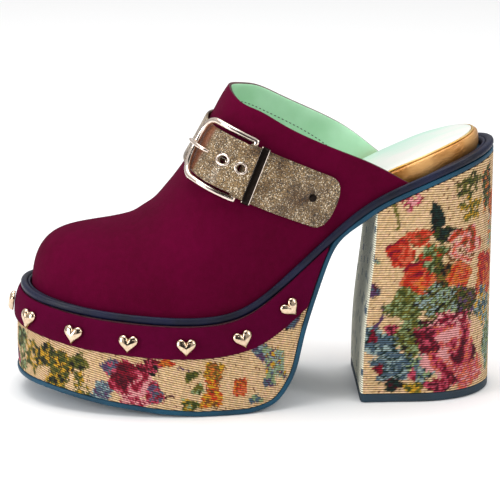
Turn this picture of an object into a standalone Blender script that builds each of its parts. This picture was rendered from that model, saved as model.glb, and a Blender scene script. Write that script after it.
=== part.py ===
"""A left clog on a platform and a block heel: suede upper, tapestry platform and heel, buckled strap.

Metres, +Z up. The toe points to -X and the outer side of the foot is -Y. The shoe stands on Z = 0.
Every outline comes from the feather line, the closed line where the upper meets the sole.
"""

import math

import bmesh
import bpy
import numpy as np
from mathutils import Vector

MM = 0.001

# The last
FEATHER_LENGTH = 227.5 * MM
BALL_WIDTH = 83.0 * MM
INSTEP_HEIGHT = 111.0 * MM
PLATFORM_HEIGHT = 44.9 * MM
HEEL_LIFT = 78.8 * MM
SEAT_TOE_SPRING = 7.6 * MM
FLOOR_TOE_SPRING = 10.7 * MM

# Walls and sheets
GAP = 0.3 * MM
UPPER_WALL = 2.0 * MM
UPPER_FOOT_GAP = 0.45 * MM
OUTSOLE_THICKNESS = 2.3 * MM
EDGE_PROUD = 0.8 * MM
PLATFORM_FLARE = 7.8 * MM
BACK_FLARE = 4.3 * MM
BAND_THICKNESS = 1.2 * MM
BAND_DEPTH = 15.2 * MM
BAND_GAP = 0.45 * MM
WELT_TOE_WIDTH = 5.2 * MM
WELT_WIDTH = 3.2 * MM
WELT_HEIGHT = 3.7 * MM
WELT_GAP = 0.4 * MM
WELT_HEEL_LAP = 2.4 * MM

# Footbed
FOOTBED_GAP = 1.1 * MM
FOOTBED_HEEL_GAP = 1.7 * MM
FOOTBED_FRONT_THICKNESS = 6.0 * MM
FOOTBED_HEEL_THICKNESS = 10.2 * MM
FOOTBED_ROLL = 2.6 * MM
SOCK_THICKNESS = 1.0 * MM
SOCK_INSET = 1.0 * MM

# Heel
HEEL_FLARE = 3.6 * MM
HEEL_TIP_THICKNESS = 4.3 * MM
HEEL_TOP_LENGTH = 57.5 * MM
HEEL_FOOT_LENGTH = 63.8 * MM
HEEL_CORNER = 2.5 * MM

# Strap, buckle and studs
STRAP_WIDTH = 24.5 * MM
STRAP_THICKNESS = 1.6 * MM
STRAP_SLOPE = 0.42
STRAP_LEVEL = 0.643
STRAP_STAND = 1.4 * MM
STRAP_GAP = 0.55 * MM
STRAP_TIP_ROUND = 6.0 * MM
END_SQUARENESS = 2.4
TAB_WIDTH = 26.5 * MM
TAB_THICKNESS = 1.0 * MM
TAB_END_ROUND = 8.0 * MM
BAR_ALONG = 0.466
BAR_RADIUS = 1.1 * MM
FRAME_RADIUS = 1.5 * MM
FRAME_LENGTH = 30.0 * MM
FRAME_BEND = 9.0 * MM
FRAME_SIDE_GAP = 1.4 * MM
FRAME_FOOT_GAP = 0.8 * MM
FRAME_SKEW = 3.5 * MM
KEEPER_WIDTH = 3.8 * MM
KEEPER_THICKNESS = 0.8 * MM
KEEPER_CORNER = 0.4 * MM
PRONG_RADIUS = 1.0 * MM
EYELET_RADIUS = 3.0 * MM
EYELET_HOLE = 1.9 * MM
EYELET_HEIGHT = 0.6 * MM
EYELET_ACROSS = 0.5 * MM
RIVET_RADIUS = 1.9 * MM
RIVET_HEIGHT = 0.5 * MM
RIVET_CORNERS = 12
STUD_WIDTH = 10.0 * MM
STUD_HEIGHT = 9.4 * MM
STUD_PROUD = 3.0 * MM
STUD_PITCH = 28.2 * MM
STUDS_EACH_SIDE = 6
STUD_LEVEL = 0.60

# Feather line from above: shares of the length, and of the ball width to each side
FEATHER_TIP = 0.03
FEATHER_BACK = 0.0
FEATHER_ROWS = (
    # along, outer, inner
    (0.018, 0.185, 0.200),
    (0.065, 0.328, 0.318),
    (0.140, 0.440, 0.420),
    (0.240, 0.512, 0.466),
    (0.340, 0.530, 0.445),
    (0.450, 0.495, 0.375),
    (0.560, 0.430, 0.325),
    (0.680, 0.370, 0.318),
    (0.800, 0.352, 0.335),
    (0.890, 0.336, 0.322),
    (0.955, 0.250, 0.240),
    (0.989, 0.130, 0.125),
)

# Seat line from the side: shares of the length, of the toe spring and of the heel lift
SEAT_ROWS = (
    # along, toe, lift
    (0.000, 1.00, 0.000),
    (0.130, 0.45, 0.000),
    (0.250, 0.16, 0.000),
    (0.365, 0.00, 0.004),
    (0.475, 0.00, 0.068),
    (0.560, 0.00, 0.245),
    (0.650, 0.00, 0.476),
    (0.740, 0.00, 0.684),
    (0.820, 0.00, 0.804),
    (0.910, 0.00, 0.912),
    (1.000, 0.00, 1.000),
)

# Underside of the outsole: shares of the toe spring, and of the seat's height where the waist starts
UNDERSIDE_ROWS = (
    # along, toe, back
    (-0.034, 1.00, 0.000),
    (0.045, 0.86, 0.000),
    (0.155, 0.49, 0.000),
    (0.220, 0.31, 0.000),
    (0.275, 0.16, 0.000),
    (0.315, 0.08, 0.000),
    (0.350, 0.02, 0.000),
    (0.375, -0.02, 0.000),
    (0.415, -0.03, 0.000),
    (0.458, -0.02, 0.000),
    (0.495, 0.00, 0.010),
    (0.532, 0.00, 0.048),
    (0.558, 0.00, 0.128),
    (0.577, 0.00, 0.233),
    (0.592, 0.00, 0.400),
    (0.608, 0.00, 0.553),
    (0.625, 0.00, 0.692),
    (0.639, 0.00, 0.800),
)
WAIST_START = 0.668
WAIST_END = 1.035

# Side of the platform: shares of its height below the feather line, and of its flare
FLARE_ROWS = (
    # depth, flare
    (0.00, 0.62),
    (0.14, 0.84),
    (0.28, 0.96),
    (0.42, 1.00),
    (0.70, 1.02),
    (1.00, 0.92),
)

# Upper: the ridge of each cross-section as a share of the instep height, its place and its squareness,
# and how much wider than the feather line its sides are a third of the way up
UPPER_ROWS = (
    # along, ridge, aside, square, outer, inner
    (0.0000, 0.075, 0.030, 2.20, 1.00, 1.00),
    (0.0020, 0.135, 0.030, 2.20, 1.00, 1.00),
    (0.0110, 0.215, 0.030, 2.20, 1.00, 1.00),
    (0.0330, 0.288, 0.028, 2.25, 1.01, 1.01),
    (0.0720, 0.337, 0.025, 2.30, 1.02, 1.02),
    (0.1430, 0.366, 0.020, 2.30, 1.02, 1.02),
    (0.2090, 0.392, 0.015, 2.25, 1.02, 1.02),
    (0.2480, 0.432, 0.010, 2.20, 1.02, 1.03),
    (0.2840, 0.496, 0.010, 2.20, 1.02, 1.05),
    (0.3450, 0.657, 0.010, 2.25, 1.03, 1.10),
    (0.4040, 0.873, 0.010, 2.30, 1.04, 1.17),
    (0.4350, 0.984, 0.010, 2.30, 1.04, 1.21),
    (0.5120, 1.150, 0.010, 2.40, 1.05, 1.28),
    (0.6660, 1.300, 0.010, 2.50, 1.10, 1.26),
    (0.8420, 1.360, 0.010, 2.50, 1.12, 1.12),
)
BODY_START = 0.07
BODY_END = 0.42

# Collar from the side: shares of the length, and of the instep height on each side
COLLAR_ROWS = (
    # along, outer, inner
    (0.4350, 0.984, 0.984),
    (0.4520, 0.957, 0.972),
    (0.4920, 0.925, 0.952),
    (0.5460, 0.867, 0.898),
    (0.5990, 0.812, 0.843),
    (0.6545, 0.762, 0.787),
    (0.7080, 0.715, 0.722),
    (0.7640, 0.657, 0.636),
    (0.7990, 0.616, 0.590),
    (0.8250, 0.587, 0.587),
)

# Heel breast: share of the heel's height, and share of the way from its foot to its top
BREAST_ROWS = (
    # up, way
    (0.00, 0.00),
    (0.25, 0.06),
    (0.50, 0.35),
    (0.75, 0.78),
    (1.00, 1.00),
)

# Distances along the strap from the middle of the buckle bar, to the rear
TAB_END = 48.0 * MM
TIP_END = 32.7 * MM
KEEPER_MIDDLE = 5.6 * MM
RIVET_MIDDLE = 35.2 * MM
EYELET_MIDDLES = (-1.6 * MM, -9.9 * MM)
PRONG_HOLE = -18.8 * MM

COLOURS = {
    # base colour, roughness, metallic
    "suede": ((0.110, 0.0015, 0.022, 1.0), 0.85, 0.0),
    "tapestry": ((0.620, 0.430, 0.240, 1.0), 0.90, 0.0),
    "navy": ((0.012, 0.020, 0.065, 1.0), 0.35, 0.0),
    "teal": ((0.012, 0.110, 0.180, 1.0), 0.40, 0.0),
    "bronze": ((0.500, 0.260, 0.090, 1.0), 0.35, 0.6),
    "mint": ((0.560, 0.760, 0.640, 1.0), 0.50, 0.0),
    "rubber": ((0.010, 0.030, 0.060, 1.0), 0.55, 0.0),
    "glitter": ((0.330, 0.250, 0.140, 1.0), 0.45, 0.7),
    "dark_metal": ((0.030, 0.024, 0.020, 1.0), 0.30, 1.0),
    "pale_gold": ((0.900, 0.740, 0.580, 1.0), 0.15, 1.0),
}

FRONT = -FEATHER_LENGTH / 2
parts = bpy.data.collections.new("platform_clog")


# Curves

def spline(knots, values, at):
    """Natural cubic through the rows, straight beyond its ends."""
    x = np.asarray(knots, float)
    y = np.asarray(values, float)
    at = np.asarray(at, float)
    h = np.diff(x)
    slope = np.diff(y) / h
    matrix = np.eye(len(x))
    right = np.zeros(len(x))
    for i in range(1, len(x) - 1):
        matrix[i, i - 1:i + 2] = h[i - 1], 2 * (h[i - 1] + h[i]), h[i]
        right[i] = 6 * (slope[i] - slope[i - 1])
    bend = np.linalg.solve(matrix, right)
    i = np.clip(np.searchsorted(x, at) - 1, 0, len(h) - 1)
    t = at - x[i]
    start = slope[i] - h[i] * (2 * bend[i] + bend[i + 1]) / 6
    inside = y[i] + t * start + t**2 * bend[i] / 2 + t**3 * (bend[i + 1] - bend[i]) / (6 * h[i])
    first = slope[0] - h[0] * bend[1] / 6
    last = slope[-1] + h[-1] * bend[-2] / 6
    inside = np.where(at < x[0], y[0] + (at - x[0]) * first, inside)
    return np.where(at > x[-1], y[-1] + (at - x[-1]) * last, inside)


def through(points, count):
    """A smooth open curve of count points through the given ones."""
    points = np.asarray(points, float)
    steps = np.sqrt(np.linalg.norm(np.diff(points, axis=0), axis=1))
    knots = np.concatenate([[0], np.cumsum(steps)])
    at = np.linspace(0, knots[-1], count)
    return np.stack([spline(knots, column, at) for column in points.T], -1)


def column(rows, place):
    return np.array([row[place] for row in rows])


def ease(t):
    t = np.clip(t, 0, 1)
    return t * t * (3 - 2 * t)


def along(x):
    return (np.asarray(x) - FRONT) / FEATHER_LENGTH


# Feather line

def feather_loop(count=1440):
    """Closed line from the tip round the outer side to the back, and home by the inner side."""
    tip = (FRONT, FEATHER_TIP * BALL_WIDTH)
    back = (-FRONT, FEATHER_BACK * BALL_WIDTH)
    outer = [(FRONT + a * FEATHER_LENGTH, -o * BALL_WIDTH) for a, o, _ in FEATHER_ROWS]
    inner = [(FRONT + a * FEATHER_LENGTH, i * BALL_WIDTH) for a, _, i in FEATHER_ROWS]
    loop = [tip] + outer + [back] + inner[::-1]
    padded = loop[-6:] + loop + loop[:7]
    points = np.asarray(padded)
    steps = np.sqrt(np.linalg.norm(np.diff(points, axis=0), axis=1))
    knots = np.concatenate([[0], np.cumsum(steps)])
    at = np.linspace(knots[6], knots[6 + len(loop)], count, endpoint=False)
    return np.stack([spline(knots, points[:, 0], at), spline(knots, points[:, 1], at)], -1)


def outward(loop):
    """Unit normals of a closed line, away from its middle."""
    ahead = np.roll(loop, -1, axis=0) - np.roll(loop, 1, axis=0)
    normal = np.stack([ahead[:, 1], -ahead[:, 0]], -1)
    normal /= np.linalg.norm(normal, axis=1)[:, None]
    middle = loop.mean(axis=0)
    return normal if ((loop - middle) * normal).sum() > 0 else -normal


LOOP = feather_loop()
LOOP_NORMAL = outward(LOOP)
TIP_AT = int(np.argmin(LOOP[:, 0]))
BACK_AT = int(np.argmax(LOOP[:, 0]))
SIDES = {
    "outer": np.arange(TIP_AT, BACK_AT + 1),
    "inner": np.arange(len(LOOP) + TIP_AT, BACK_AT - 1, -1) % len(LOOP),
}


def on_feather(side, x):
    """Points and normals of one side of the feather line at the given x."""
    index = SIDES[side]
    place = np.interp(x, LOOP[index, 0], np.arange(len(index)))
    low = np.clip(place.astype(int), 0, len(index) - 2)
    share = (place - low)[:, None]
    a, b = index[low], index[low + 1]
    point = LOOP[a] * (1 - share) + LOOP[b] * share
    normal = LOOP_NORMAL[a] * (1 - share) + LOOP_NORMAL[b] * share
    return point, normal / np.linalg.norm(normal, axis=1)[:, None]


# Side profiles

def seat(x):
    a = along(x)
    toe = spline(column(SEAT_ROWS, 0), column(SEAT_ROWS, 1), a) * SEAT_TOE_SPRING
    lift = spline(column(SEAT_ROWS, 0), column(SEAT_ROWS, 2), a) * HEEL_LIFT
    return PLATFORM_HEIGHT + toe + lift


def seat_cosine(x):
    """Cosine of the seat line's slope, for thicknesses measured across it."""
    rise = (seat(np.asarray(x) + MM) - seat(np.asarray(x) - MM)) / (2 * MM)
    return 1 / np.sqrt(1 + rise**2)


def over_seat(x, height):
    return seat(x) + height / seat_cosine(x)


def underside_curve():
    """Underside of the outsole as a dense line of (x, z), flat where it meets the floor."""
    waist = FRONT + np.linspace(WAIST_START, WAIST_END, 9) * FEATHER_LENGTH
    back_top = float(seat(waist[0]))
    rows = [
        (FRONT + a * FEATHER_LENGTH, toe * FLOOR_TOE_SPRING + back * back_top)
        for a, toe, back in UNDERSIDE_ROWS
    ]
    under = over_seat(waist, -(OUTSOLE_THICKNESS + GAP))
    line = through(rows + list(zip(waist, under)), 900)
    line[:, 1] = np.maximum(line[:, 1], 0)
    return line


def beside(line, distance):
    """The line moved up and forward by a distance across it, as heights over x."""
    ahead = np.gradient(line, axis=0)
    ahead /= np.linalg.norm(ahead, axis=1)[:, None]
    moved = line + distance * np.stack([-ahead[:, 1], ahead[:, 0]], -1)
    order = np.maximum.accumulate(moved[:, 0])
    return order, moved[:, 1]


UNDERSIDE = underside_curve()
SHEET_TOP = beside(UNDERSIDE, OUTSOLE_THICKNESS)
PLATFORM_FOOT = beside(UNDERSIDE, OUTSOLE_THICKNESS + GAP)


def height_on(line, x):
    return np.interp(x, line[0], line[1])


def underside(x):
    return np.interp(x, UNDERSIDE[:, 0], UNDERSIDE[:, 1])


def flare(x, depth):
    """How far the platform's side stands outside the feather line, by depth below it."""
    share = np.clip(depth / PLATFORM_HEIGHT, 0, 1)
    most = PLATFORM_FLARE + (BACK_FLARE - PLATFORM_FLARE) * ease((along(x) - 0.42) / 0.2)
    return spline(column(FLARE_ROWS, 0), column(FLARE_ROWS, 1), share) * most


# Stations along the shoe

ROUND_STATIONS = 38
BACK_STATIONS = 15
BACK_START, BACK_END = 0.50, 0.67


def station_places():
    """Shares of the length: close together at the round ends and up the back of the platform."""
    turn = np.linspace(0, math.pi, ROUND_STATIONS)[1:-1]
    ends = (1 - np.cos(turn)) / 2
    ends = ends[(ends < BACK_START - 0.01) | (ends > BACK_END + 0.01)]
    return np.sort(np.concatenate([ends, np.linspace(BACK_START, BACK_END, BACK_STATIONS)]))


STATIONS = FRONT + station_places() * FEATHER_LENGTH


def ring(offset, height, stations=STATIONS, back=True):
    """Corners round the shoe: tip, outer side, back, inner side. offset and height are functions of x."""
    outer, outer_normal = on_feather("outer", stations)
    inner, inner_normal = on_feather("inner", stations)
    tip, tip_normal = on_feather("outer", np.array([FRONT]))
    rear, rear_normal = on_feather("outer", np.array([-FRONT]))
    base = [tip, outer] + ([rear] if back else []) + [inner[::-1]]
    normal = [tip_normal, outer_normal] + ([rear_normal] if back else []) + [inner_normal[::-1]]
    base = np.concatenate(base)
    normal = np.concatenate(normal)
    flat = base + normal * np.broadcast_to(offset(base[:, 0]), len(base))[:, None]
    return np.column_stack([flat, height(flat[:, 0])])


def ring_cap(count, start, back):
    """Faces across a ring: pairs of opposite corners joined by strips."""
    sides = (count - 1 - back) // 2
    faces = [(0, count - 1, 1)]
    for j in range(1, sides):
        faces.append((j, count - j, count - j - 1, j + 1))
    if back:
        faces.append((sides, sides + 2, sides + 1))
    return [tuple(start + corner for corner in face) for face in faces]


def ring_wall(count, low, high):
    return [(low + j, low + (j + 1) % count, high + (j + 1) % count, high + j) for j in range(count)]


# Objects

def material(name):
    found = bpy.data.materials.get(name)
    if found:
        return found
    colour, roughness, metallic = COLOURS[name]
    made = bpy.data.materials.new(name)
    made.use_nodes = True
    shader = made.node_tree.nodes["Principled BSDF"]
    shader.inputs["Base Color"].default_value = colour
    shader.inputs["Roughness"].default_value = roughness
    shader.inputs["Metallic"].default_value = metallic
    made.diffuse_color = colour
    return made


def piece(name, points, faces, finish, sharp=40.0):
    """One named object with its faces turned outwards and its round parts smooth."""
    mesh = bpy.data.meshes.new(name)
    mesh.from_pydata([tuple(point) for point in points], [], faces)
    shape = bmesh.new()
    shape.from_mesh(mesh)
    bmesh.ops.remove_doubles(shape, verts=shape.verts, dist=1e-7)
    bmesh.ops.recalc_face_normals(shape, faces=shape.faces)
    shape.to_mesh(mesh)
    shape.free()
    mesh.materials.append(material(finish))
    mesh.shade_smooth()
    mesh.set_sharp_from_angle(angle=math.radians(sharp))
    made = bpy.data.objects.new(name, mesh)
    parts.objects.link(made)
    return made


def stack(name, rings, finish, back=True):
    """A solid from rings over each other, closed across the first and the last."""
    count = len(rings[0])
    faces = ring_cap(count, 0, back)
    for level in range(len(rings) - 1):
        faces += ring_wall(count, level * count, (level + 1) * count)
    faces += ring_cap(count, (len(rings) - 1) * count, back)
    return piece(name, np.concatenate(rings), faces, finish)


def loop_of_rings(name, rings, finish):
    """A closed hoop: each ring is joined to the next, and the last to the first."""
    count = len(rings[0])
    faces = []
    for level in range(len(rings)):
        faces += ring_wall(count, level * count, (level + 1) % len(rings) * count)
    return piece(name, np.concatenate(rings), faces, finish)


def grid_faces(rows, columns, start=0):
    return [
        (start + i * columns + j, start + i * columns + j + 1,
         start + (i + 1) * columns + j + 1, start + (i + 1) * columns + j)
        for i in range(rows - 1)
        for j in range(columns - 1)
    ]


# Sole pieces

def edge_flare(x):
    """Offset of the outsole's edge: proud of the platform, and close to the welt at the waist."""
    depth = (seat(x) - underside(x) - OUTSOLE_THICKNESS) * seat_cosine(x)
    return flare(x, np.maximum(depth, 0)) + EDGE_PROUD


def sheet_top(x):
    """Upper face of the outsole, which never rises into what lies on it."""
    return np.minimum(height_on(SHEET_TOP, x), over_seat(x, -GAP))


def make_outsole():
    return stack("outsole", [ring(edge_flare, underside), ring(edge_flare, sheet_top)], "teal")


def platform_room(x):
    return seat(x) - GAP / seat_cosine(x) - height_on(PLATFORM_FOOT, x)


def platform_stations(least):
    """Stations where the platform is at least this thick."""
    return STATIONS[(platform_room(STATIONS) > least) & (along(STATIONS) < BACK_END)]


PLATFORM_LEVELS = (0.0, 0.12, 0.28, 0.5, 0.76, 1.0)


def make_platform():
    stations = platform_stations(1.5 * MM)
    rings = []
    for share in PLATFORM_LEVELS[::-1]:
        def offset(x, share=share):
            return flare(x, share * platform_room(x) * seat_cosine(x))

        def height(x, share=share):
            return seat(x) - GAP / seat_cosine(x) - share * platform_room(x)
        rings.append(ring(offset, height, stations, back=False))
    return stack("platform", rings, "tapestry", back=False)


BAND_LEVELS = 4


def band_depth(x):
    """Height of the band below the seat, cut short where the outsole comes up behind it."""
    return np.minimum(BAND_DEPTH / seat_cosine(x), platform_room(x) - GAP)


def band_surface(x, share, proud):
    """Offset and height of a point of the band's face, by its share of the band's depth."""
    drop = GAP / seat_cosine(x) + share * band_depth(x)
    return flare(x, drop * seat_cosine(x)) + BAND_GAP + proud, seat(x) - drop


def make_platform_band():
    stations = platform_stations(3.0 * MM)
    rows = []
    for share in np.linspace(0, 1, BAND_LEVELS):
        corners = ring(
            lambda x: band_surface(x, share, BAND_THICKNESS)[0],
            lambda x: band_surface(x, share, BAND_THICKNESS)[1],
            stations,
            back=False,
        )
        turn = len(stations) + 1
        rows.append(np.concatenate([corners[1:turn][::-1], corners[:1], corners[turn:][::-1]]))
    points = np.concatenate(rows)
    made = piece("platform_band", points, grid_faces(BAND_LEVELS, len(rows[0])), "suede")
    face_out(made)
    wall(made, BAND_THICKNESS)
    return made


def face_out(made):
    """Turns an open shell's faces away from the middle of the shoe."""
    mesh = made.data
    centre = sum((v.co for v in mesh.vertices), Vector()) / len(mesh.vertices)
    score = sum((p.center - centre).dot(p.normal) * p.area for p in mesh.polygons)
    if score < 0:
        mesh.flip_normals()


def wall(made, thickness):
    """Gives an open shell its real wall, inwards."""
    solid = made.modifiers.new("wall", "SOLIDIFY")
    solid.thickness = thickness
    solid.offset = -1
    solid.use_even_offset = True
    solid.use_quality_normals = True


# The welt's section: share of its width from the inner edge, and share of its height
WELT_SECTION = (
    # across, up
    (0.00, 0.00),
    (0.92, 0.00),
    (1.00, 0.45),
    (0.80, 0.94),
    (0.35, 1.00),
    (0.00, 0.75),
)
COLLAR_FOOT = COLLAR_ROWS[-1][0]


def heel_part(x):
    """0 along the upper, 1 behind the collar's foot."""
    return ease((along(x) - COLLAR_FOOT - 0.02) / 0.07)


def welt_inner(x):
    return WELT_GAP - (WELT_GAP + WELT_HEEL_LAP) * heel_part(x)


def welt_outer(x):
    """Offset of the welt's outer edge: widest round the toe."""
    return WELT_GAP + WELT_TOE_WIDTH + (WELT_WIDTH - WELT_TOE_WIDTH) * ease(along(x) / 0.2)


def make_welt():
    rings = []
    for across, up in WELT_SECTION:
        def offset(x, across=across):
            return welt_inner(x) + across * (welt_outer(x) - welt_inner(x))

        def height(x, up=up):
            return over_seat(x, up * WELT_HEIGHT)
        rings.append(ring(offset, height))
    return loop_of_rings("welt", rings, "navy")


def footbed_edge(x):
    """Offset of the footbed's side, inside the upper's wall and then inside the welt."""
    front = UPPER_WALL + FOOTBED_GAP
    heel = WELT_HEEL_LAP + FOOTBED_HEEL_GAP
    return -(front + (heel - front) * heel_part(x))


def footbed_thickness(x):
    share = ease((along(x) - 0.42) / 0.3)
    return FOOTBED_FRONT_THICKNESS + (FOOTBED_HEEL_THICKNESS - FOOTBED_FRONT_THICKNESS) * share


# The footbed's rolled edge: shares of the roll inwards and of the thickness
FOOTBED_SECTION = (
    # inward, up
    (0.50, 0.03),
    (0.00, 0.28),
    (0.02, 0.66),
    (0.35, 0.93),
    (1.00, 1.00),
)


def make_footbed():
    rings = []
    for inward, up in FOOTBED_SECTION:
        def offset(x, inward=inward):
            return footbed_edge(x) - inward * FOOTBED_ROLL

        def height(x, up=up):
            return over_seat(x, np.maximum(up * footbed_thickness(x), GAP))
        rings.append(ring(offset, height))
    return stack("footbed", rings, "bronze")


def make_sock():
    rings = []
    for inset, up in ((0.0, 0.0), (0.4, 1.0)):
        def offset(x, inset=inset):
            return footbed_edge(x) - FOOTBED_ROLL - SOCK_INSET - inset * SOCK_THICKNESS

        def height(x, up=up):
            return over_seat(x, footbed_thickness(x) + GAP + up * SOCK_THICKNESS)
        rings.append(ring(offset, height))
    return stack("sock", rings, "mint")


# Heel

HEEL_SIDE_STATIONS = 14
HEEL_LEVELS = 5


def breast(up):
    way = spline(column(BREAST_ROWS, 0), column(BREAST_ROWS, 1), up)
    return -FRONT - HEEL_FOOT_LENGTH + (HEEL_FOOT_LENGTH - HEEL_TOP_LENGTH) * way


def heel_ring(front, height):
    """The heel's outline from above, from its breast to its round back."""
    turn = np.linspace(0, math.pi / 2, HEEL_SIDE_STATIONS)[1:-1]
    stations = front + HEEL_CORNER + (-FRONT - front - HEEL_CORNER) * np.sin(turn)
    stations = np.concatenate([[front + HEEL_CORNER], stations])
    sides = {}
    for side in ("outer", "inner"):
        point, normal = on_feather(side, stations)
        flat = point + normal * HEEL_FLARE
        corner = flat[0] + np.array([-0.7, 0.0]) * HEEL_CORNER
        corner[1] -= np.sign(corner[1]) * 0.3 * HEEL_CORNER
        face = np.array([front, flat[0][1] - np.sign(flat[0][1]) * HEEL_CORNER])
        sides[side] = np.concatenate([[face], [corner], flat])
    rear, rear_normal = on_feather("outer", np.array([-FRONT]))
    rear = rear + rear_normal * HEEL_FLARE
    tip = np.array([[front, 0.0]])
    flat = np.concatenate([tip, sides["outer"], rear, sides["inner"][::-1]])
    return np.column_stack([flat, height(flat[:, 0])])


def make_heel():
    rings = []
    foot = HEEL_TIP_THICKNESS + GAP
    for up in np.linspace(0, 1, HEEL_LEVELS):
        def height(x, up=up):
            top = underside(x) - GAP / seat_cosine(x)
            return foot + up * (top - foot)
        rings.append(heel_ring(float(breast(up)), height))
    return stack("heel", rings, "tapestry")


def make_heel_tip():
    front = float(breast(0.0))
    rings = [heel_ring(front, lambda x: x * 0), heel_ring(front, lambda x: x * 0 + HEEL_TIP_THICKNESS)]
    return stack("heel_tip", rings, "rubber")


# Upper

def upper_row(x, place):
    return spline(column(UPPER_ROWS, 0), column(UPPER_ROWS, place), along(x))


RIDGE = through(
    [(FRONT + row[0] * FEATHER_LENGTH, row[1] * INSTEP_HEIGHT) for row in UPPER_ROWS], 2000
)


def ridge_height(x):
    return PLATFORM_HEIGHT + np.interp(x, np.maximum.accumulate(RIDGE[:, 0]), RIDGE[:, 1])


def upper_foot(x):
    return seat(x) + UPPER_FOOT_GAP


def upper_point(x, turn):
    """Outer face of the upper: turn is 0 at the outer feather line, half pi on the ridge, pi inside."""
    x = np.asarray(x, float)
    turn = np.broadcast_to(turn, x.shape)
    outer = on_feather("outer", x.ravel())[0][:, 1].reshape(x.shape)
    inner = on_feather("inner", x.ravel())[0][:, 1].reshape(x.shape)
    # The table's sideways place fades to the feather tip's own at the toe.
    middle = upper_row(x, 2) * BALL_WIDTH
    side = np.where(turn <= math.pi / 2, outer, inner)
    power = 2 / upper_row(x, 3)
    across = np.abs(np.cos(turn)) ** power
    up = np.abs(np.sin(turn)) ** power
    wider = np.where(turn <= math.pi / 2, upper_row(x, 4), upper_row(x, 5))
    side = side * (1 + (wider - 1) * ease((up - BODY_START) / (BODY_END - BODY_START)))
    foot = upper_foot(x)
    top = np.maximum(ridge_height(x), foot)
    return np.stack([x, middle + (side - middle) * across, foot + (top - foot) * up], -1)


def collar_places(turns):
    """Where the collar crosses each turn of the sections, as x."""
    x = FRONT + np.linspace(COLLAR_ROWS[0][0], COLLAR_ROWS[-1][0], 400) * FEATHER_LENGTH
    foot = upper_foot(x)
    crossings = []
    for place in (1, 2):
        rise = INSTEP_HEIGHT * spline(column(COLLAR_ROWS, 0), column(COLLAR_ROWS, place), along(x))
        share = np.clip((PLATFORM_HEIGHT + rise - foot) / (ridge_height(x) - foot), 0, 1)
        share[0], share[-1] = 1, 0
        turn = np.minimum.accumulate(np.arcsin(share ** (upper_row(x, 3) / 2)))
        crossings.append(np.interp(np.minimum(turns, math.pi - turns), turn[::-1], x[::-1]))
    return np.where(turns <= math.pi / 2, crossings[0], crossings[1])


UPPER_ROUNDS = 22
UPPER_TURNS = 31


def make_upper():
    half = np.linspace(0, 1, UPPER_TURNS // 2 + 1)
    turns = math.pi / 2 * half**1.15
    turns = np.concatenate([turns, math.pi - turns[-2::-1]])
    ends = collar_places(turns)
    rows = []
    for share in (np.arange(1, UPPER_ROUNDS + 1) / UPPER_ROUNDS) ** 1.9:
        x = FRONT + (ends - FRONT) * share
        rows.append(upper_point(x, turns))
    tip = upper_point(np.array([FRONT]), np.array([0.0]))
    points = np.concatenate([tip] + rows)
    faces = [(0, 1 + j, 2 + j) for j in range(UPPER_TURNS - 1)]
    faces += grid_faces(UPPER_ROUNDS, UPPER_TURNS, start=1)
    made = piece("upper", points, faces, "suede")
    face_out(made)
    wall(made, UPPER_WALL)
    return made


# Strap: a slice of the upper's face between two sloping planes

LEVEL_PER_WIDTH = math.sqrt(1 + STRAP_SLOPE**2)
STRAP_MIDDLE = PLATFORM_HEIGHT + STRAP_LEVEL * INSTEP_HEIGHT
BAR_X = FRONT + BAR_ALONG * FEATHER_LENGTH
SHEET_START, SHEET_END = 0.2, 0.86
SHEET_EDGE_TURN = 0.04
SHEET_TURNS = 360
SHEET_ACROSS = np.linspace(-20, 20, 17) * MM
SQUARE_REACH = 50


def strap_slices():
    """Lines over the upper's face, one for each distance from the strap's middle plane."""
    x = FRONT + np.linspace(SHEET_START, SHEET_END, 200) * FEATHER_LENGTH
    turns = np.linspace(SHEET_EDGE_TURN, math.pi - SHEET_EDGE_TURN, SHEET_TURNS)
    face = upper_point(np.tile(x, (SHEET_TURNS, 1)), turns[:, None])
    level = face[..., 2] + STRAP_SLOPE * x
    slices = np.empty((SHEET_TURNS, len(SHEET_ACROSS), 3))
    for i in range(SHEET_TURNS):
        wanted = STRAP_MIDDLE + SHEET_ACROSS * LEVEL_PER_WIDTH
        for k in range(3):
            slices[i, :, k] = np.interp(wanted, level[i], face[i, :, k])
    return slices


def strap_sheet():
    """Points and normals of the face in rows square to the strap, and each row's place along it."""
    slices = strap_slices()
    centre = slices[:, len(SHEET_ACROSS) // 2]
    ahead = np.gradient(centre, axis=0)
    ahead /= np.linalg.norm(ahead, axis=1)[:, None]
    square = np.empty_like(slices)
    for i in range(SHEET_TURNS):
        near = slice(max(0, i - SQUARE_REACH), i + SQUARE_REACH + 1)
        for j in range(len(SHEET_ACROSS)):
            line = slices[near, j]
            off = np.maximum.accumulate((line - centre[i]) @ ahead[i])
            square[i, j] = [np.interp(0, off, line[:, k]) for k in range(3)]
    normal = np.cross(np.gradient(square, axis=0), np.gradient(square, axis=1))
    normal /= np.maximum(np.linalg.norm(normal, axis=2), 1e-12)[..., None]
    inside = np.array([0.0, 0.0, PLATFORM_HEIGHT + INSTEP_HEIGHT / 3])
    normal *= np.where(((square - inside) * normal).sum(axis=2) < 0, -1, 1)[..., None]
    lengths = np.concatenate([[0], np.cumsum(np.linalg.norm(np.diff(centre, axis=0), axis=1))])
    outer = slice(0, SHEET_TURNS // 2)
    bar = np.interp(-BAR_X, -centre[outer, 0], lengths[outer])
    return square, normal, bar - lengths


SHEET, SHEET_NORMAL, SHEET_PLACES = strap_sheet()
SHEET_X = SHEET[:, len(SHEET_ACROSS) // 2, 0]
# Place along the strap where the inner side matches the outer end of the tab
INNER_END = float(
    np.interp(
        np.interp(-TAB_END, -SHEET_PLACES, SHEET_X),
        SHEET_X[SHEET_TURNS // 2:],
        SHEET_PLACES[SHEET_TURNS // 2:],
    )
)


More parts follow.
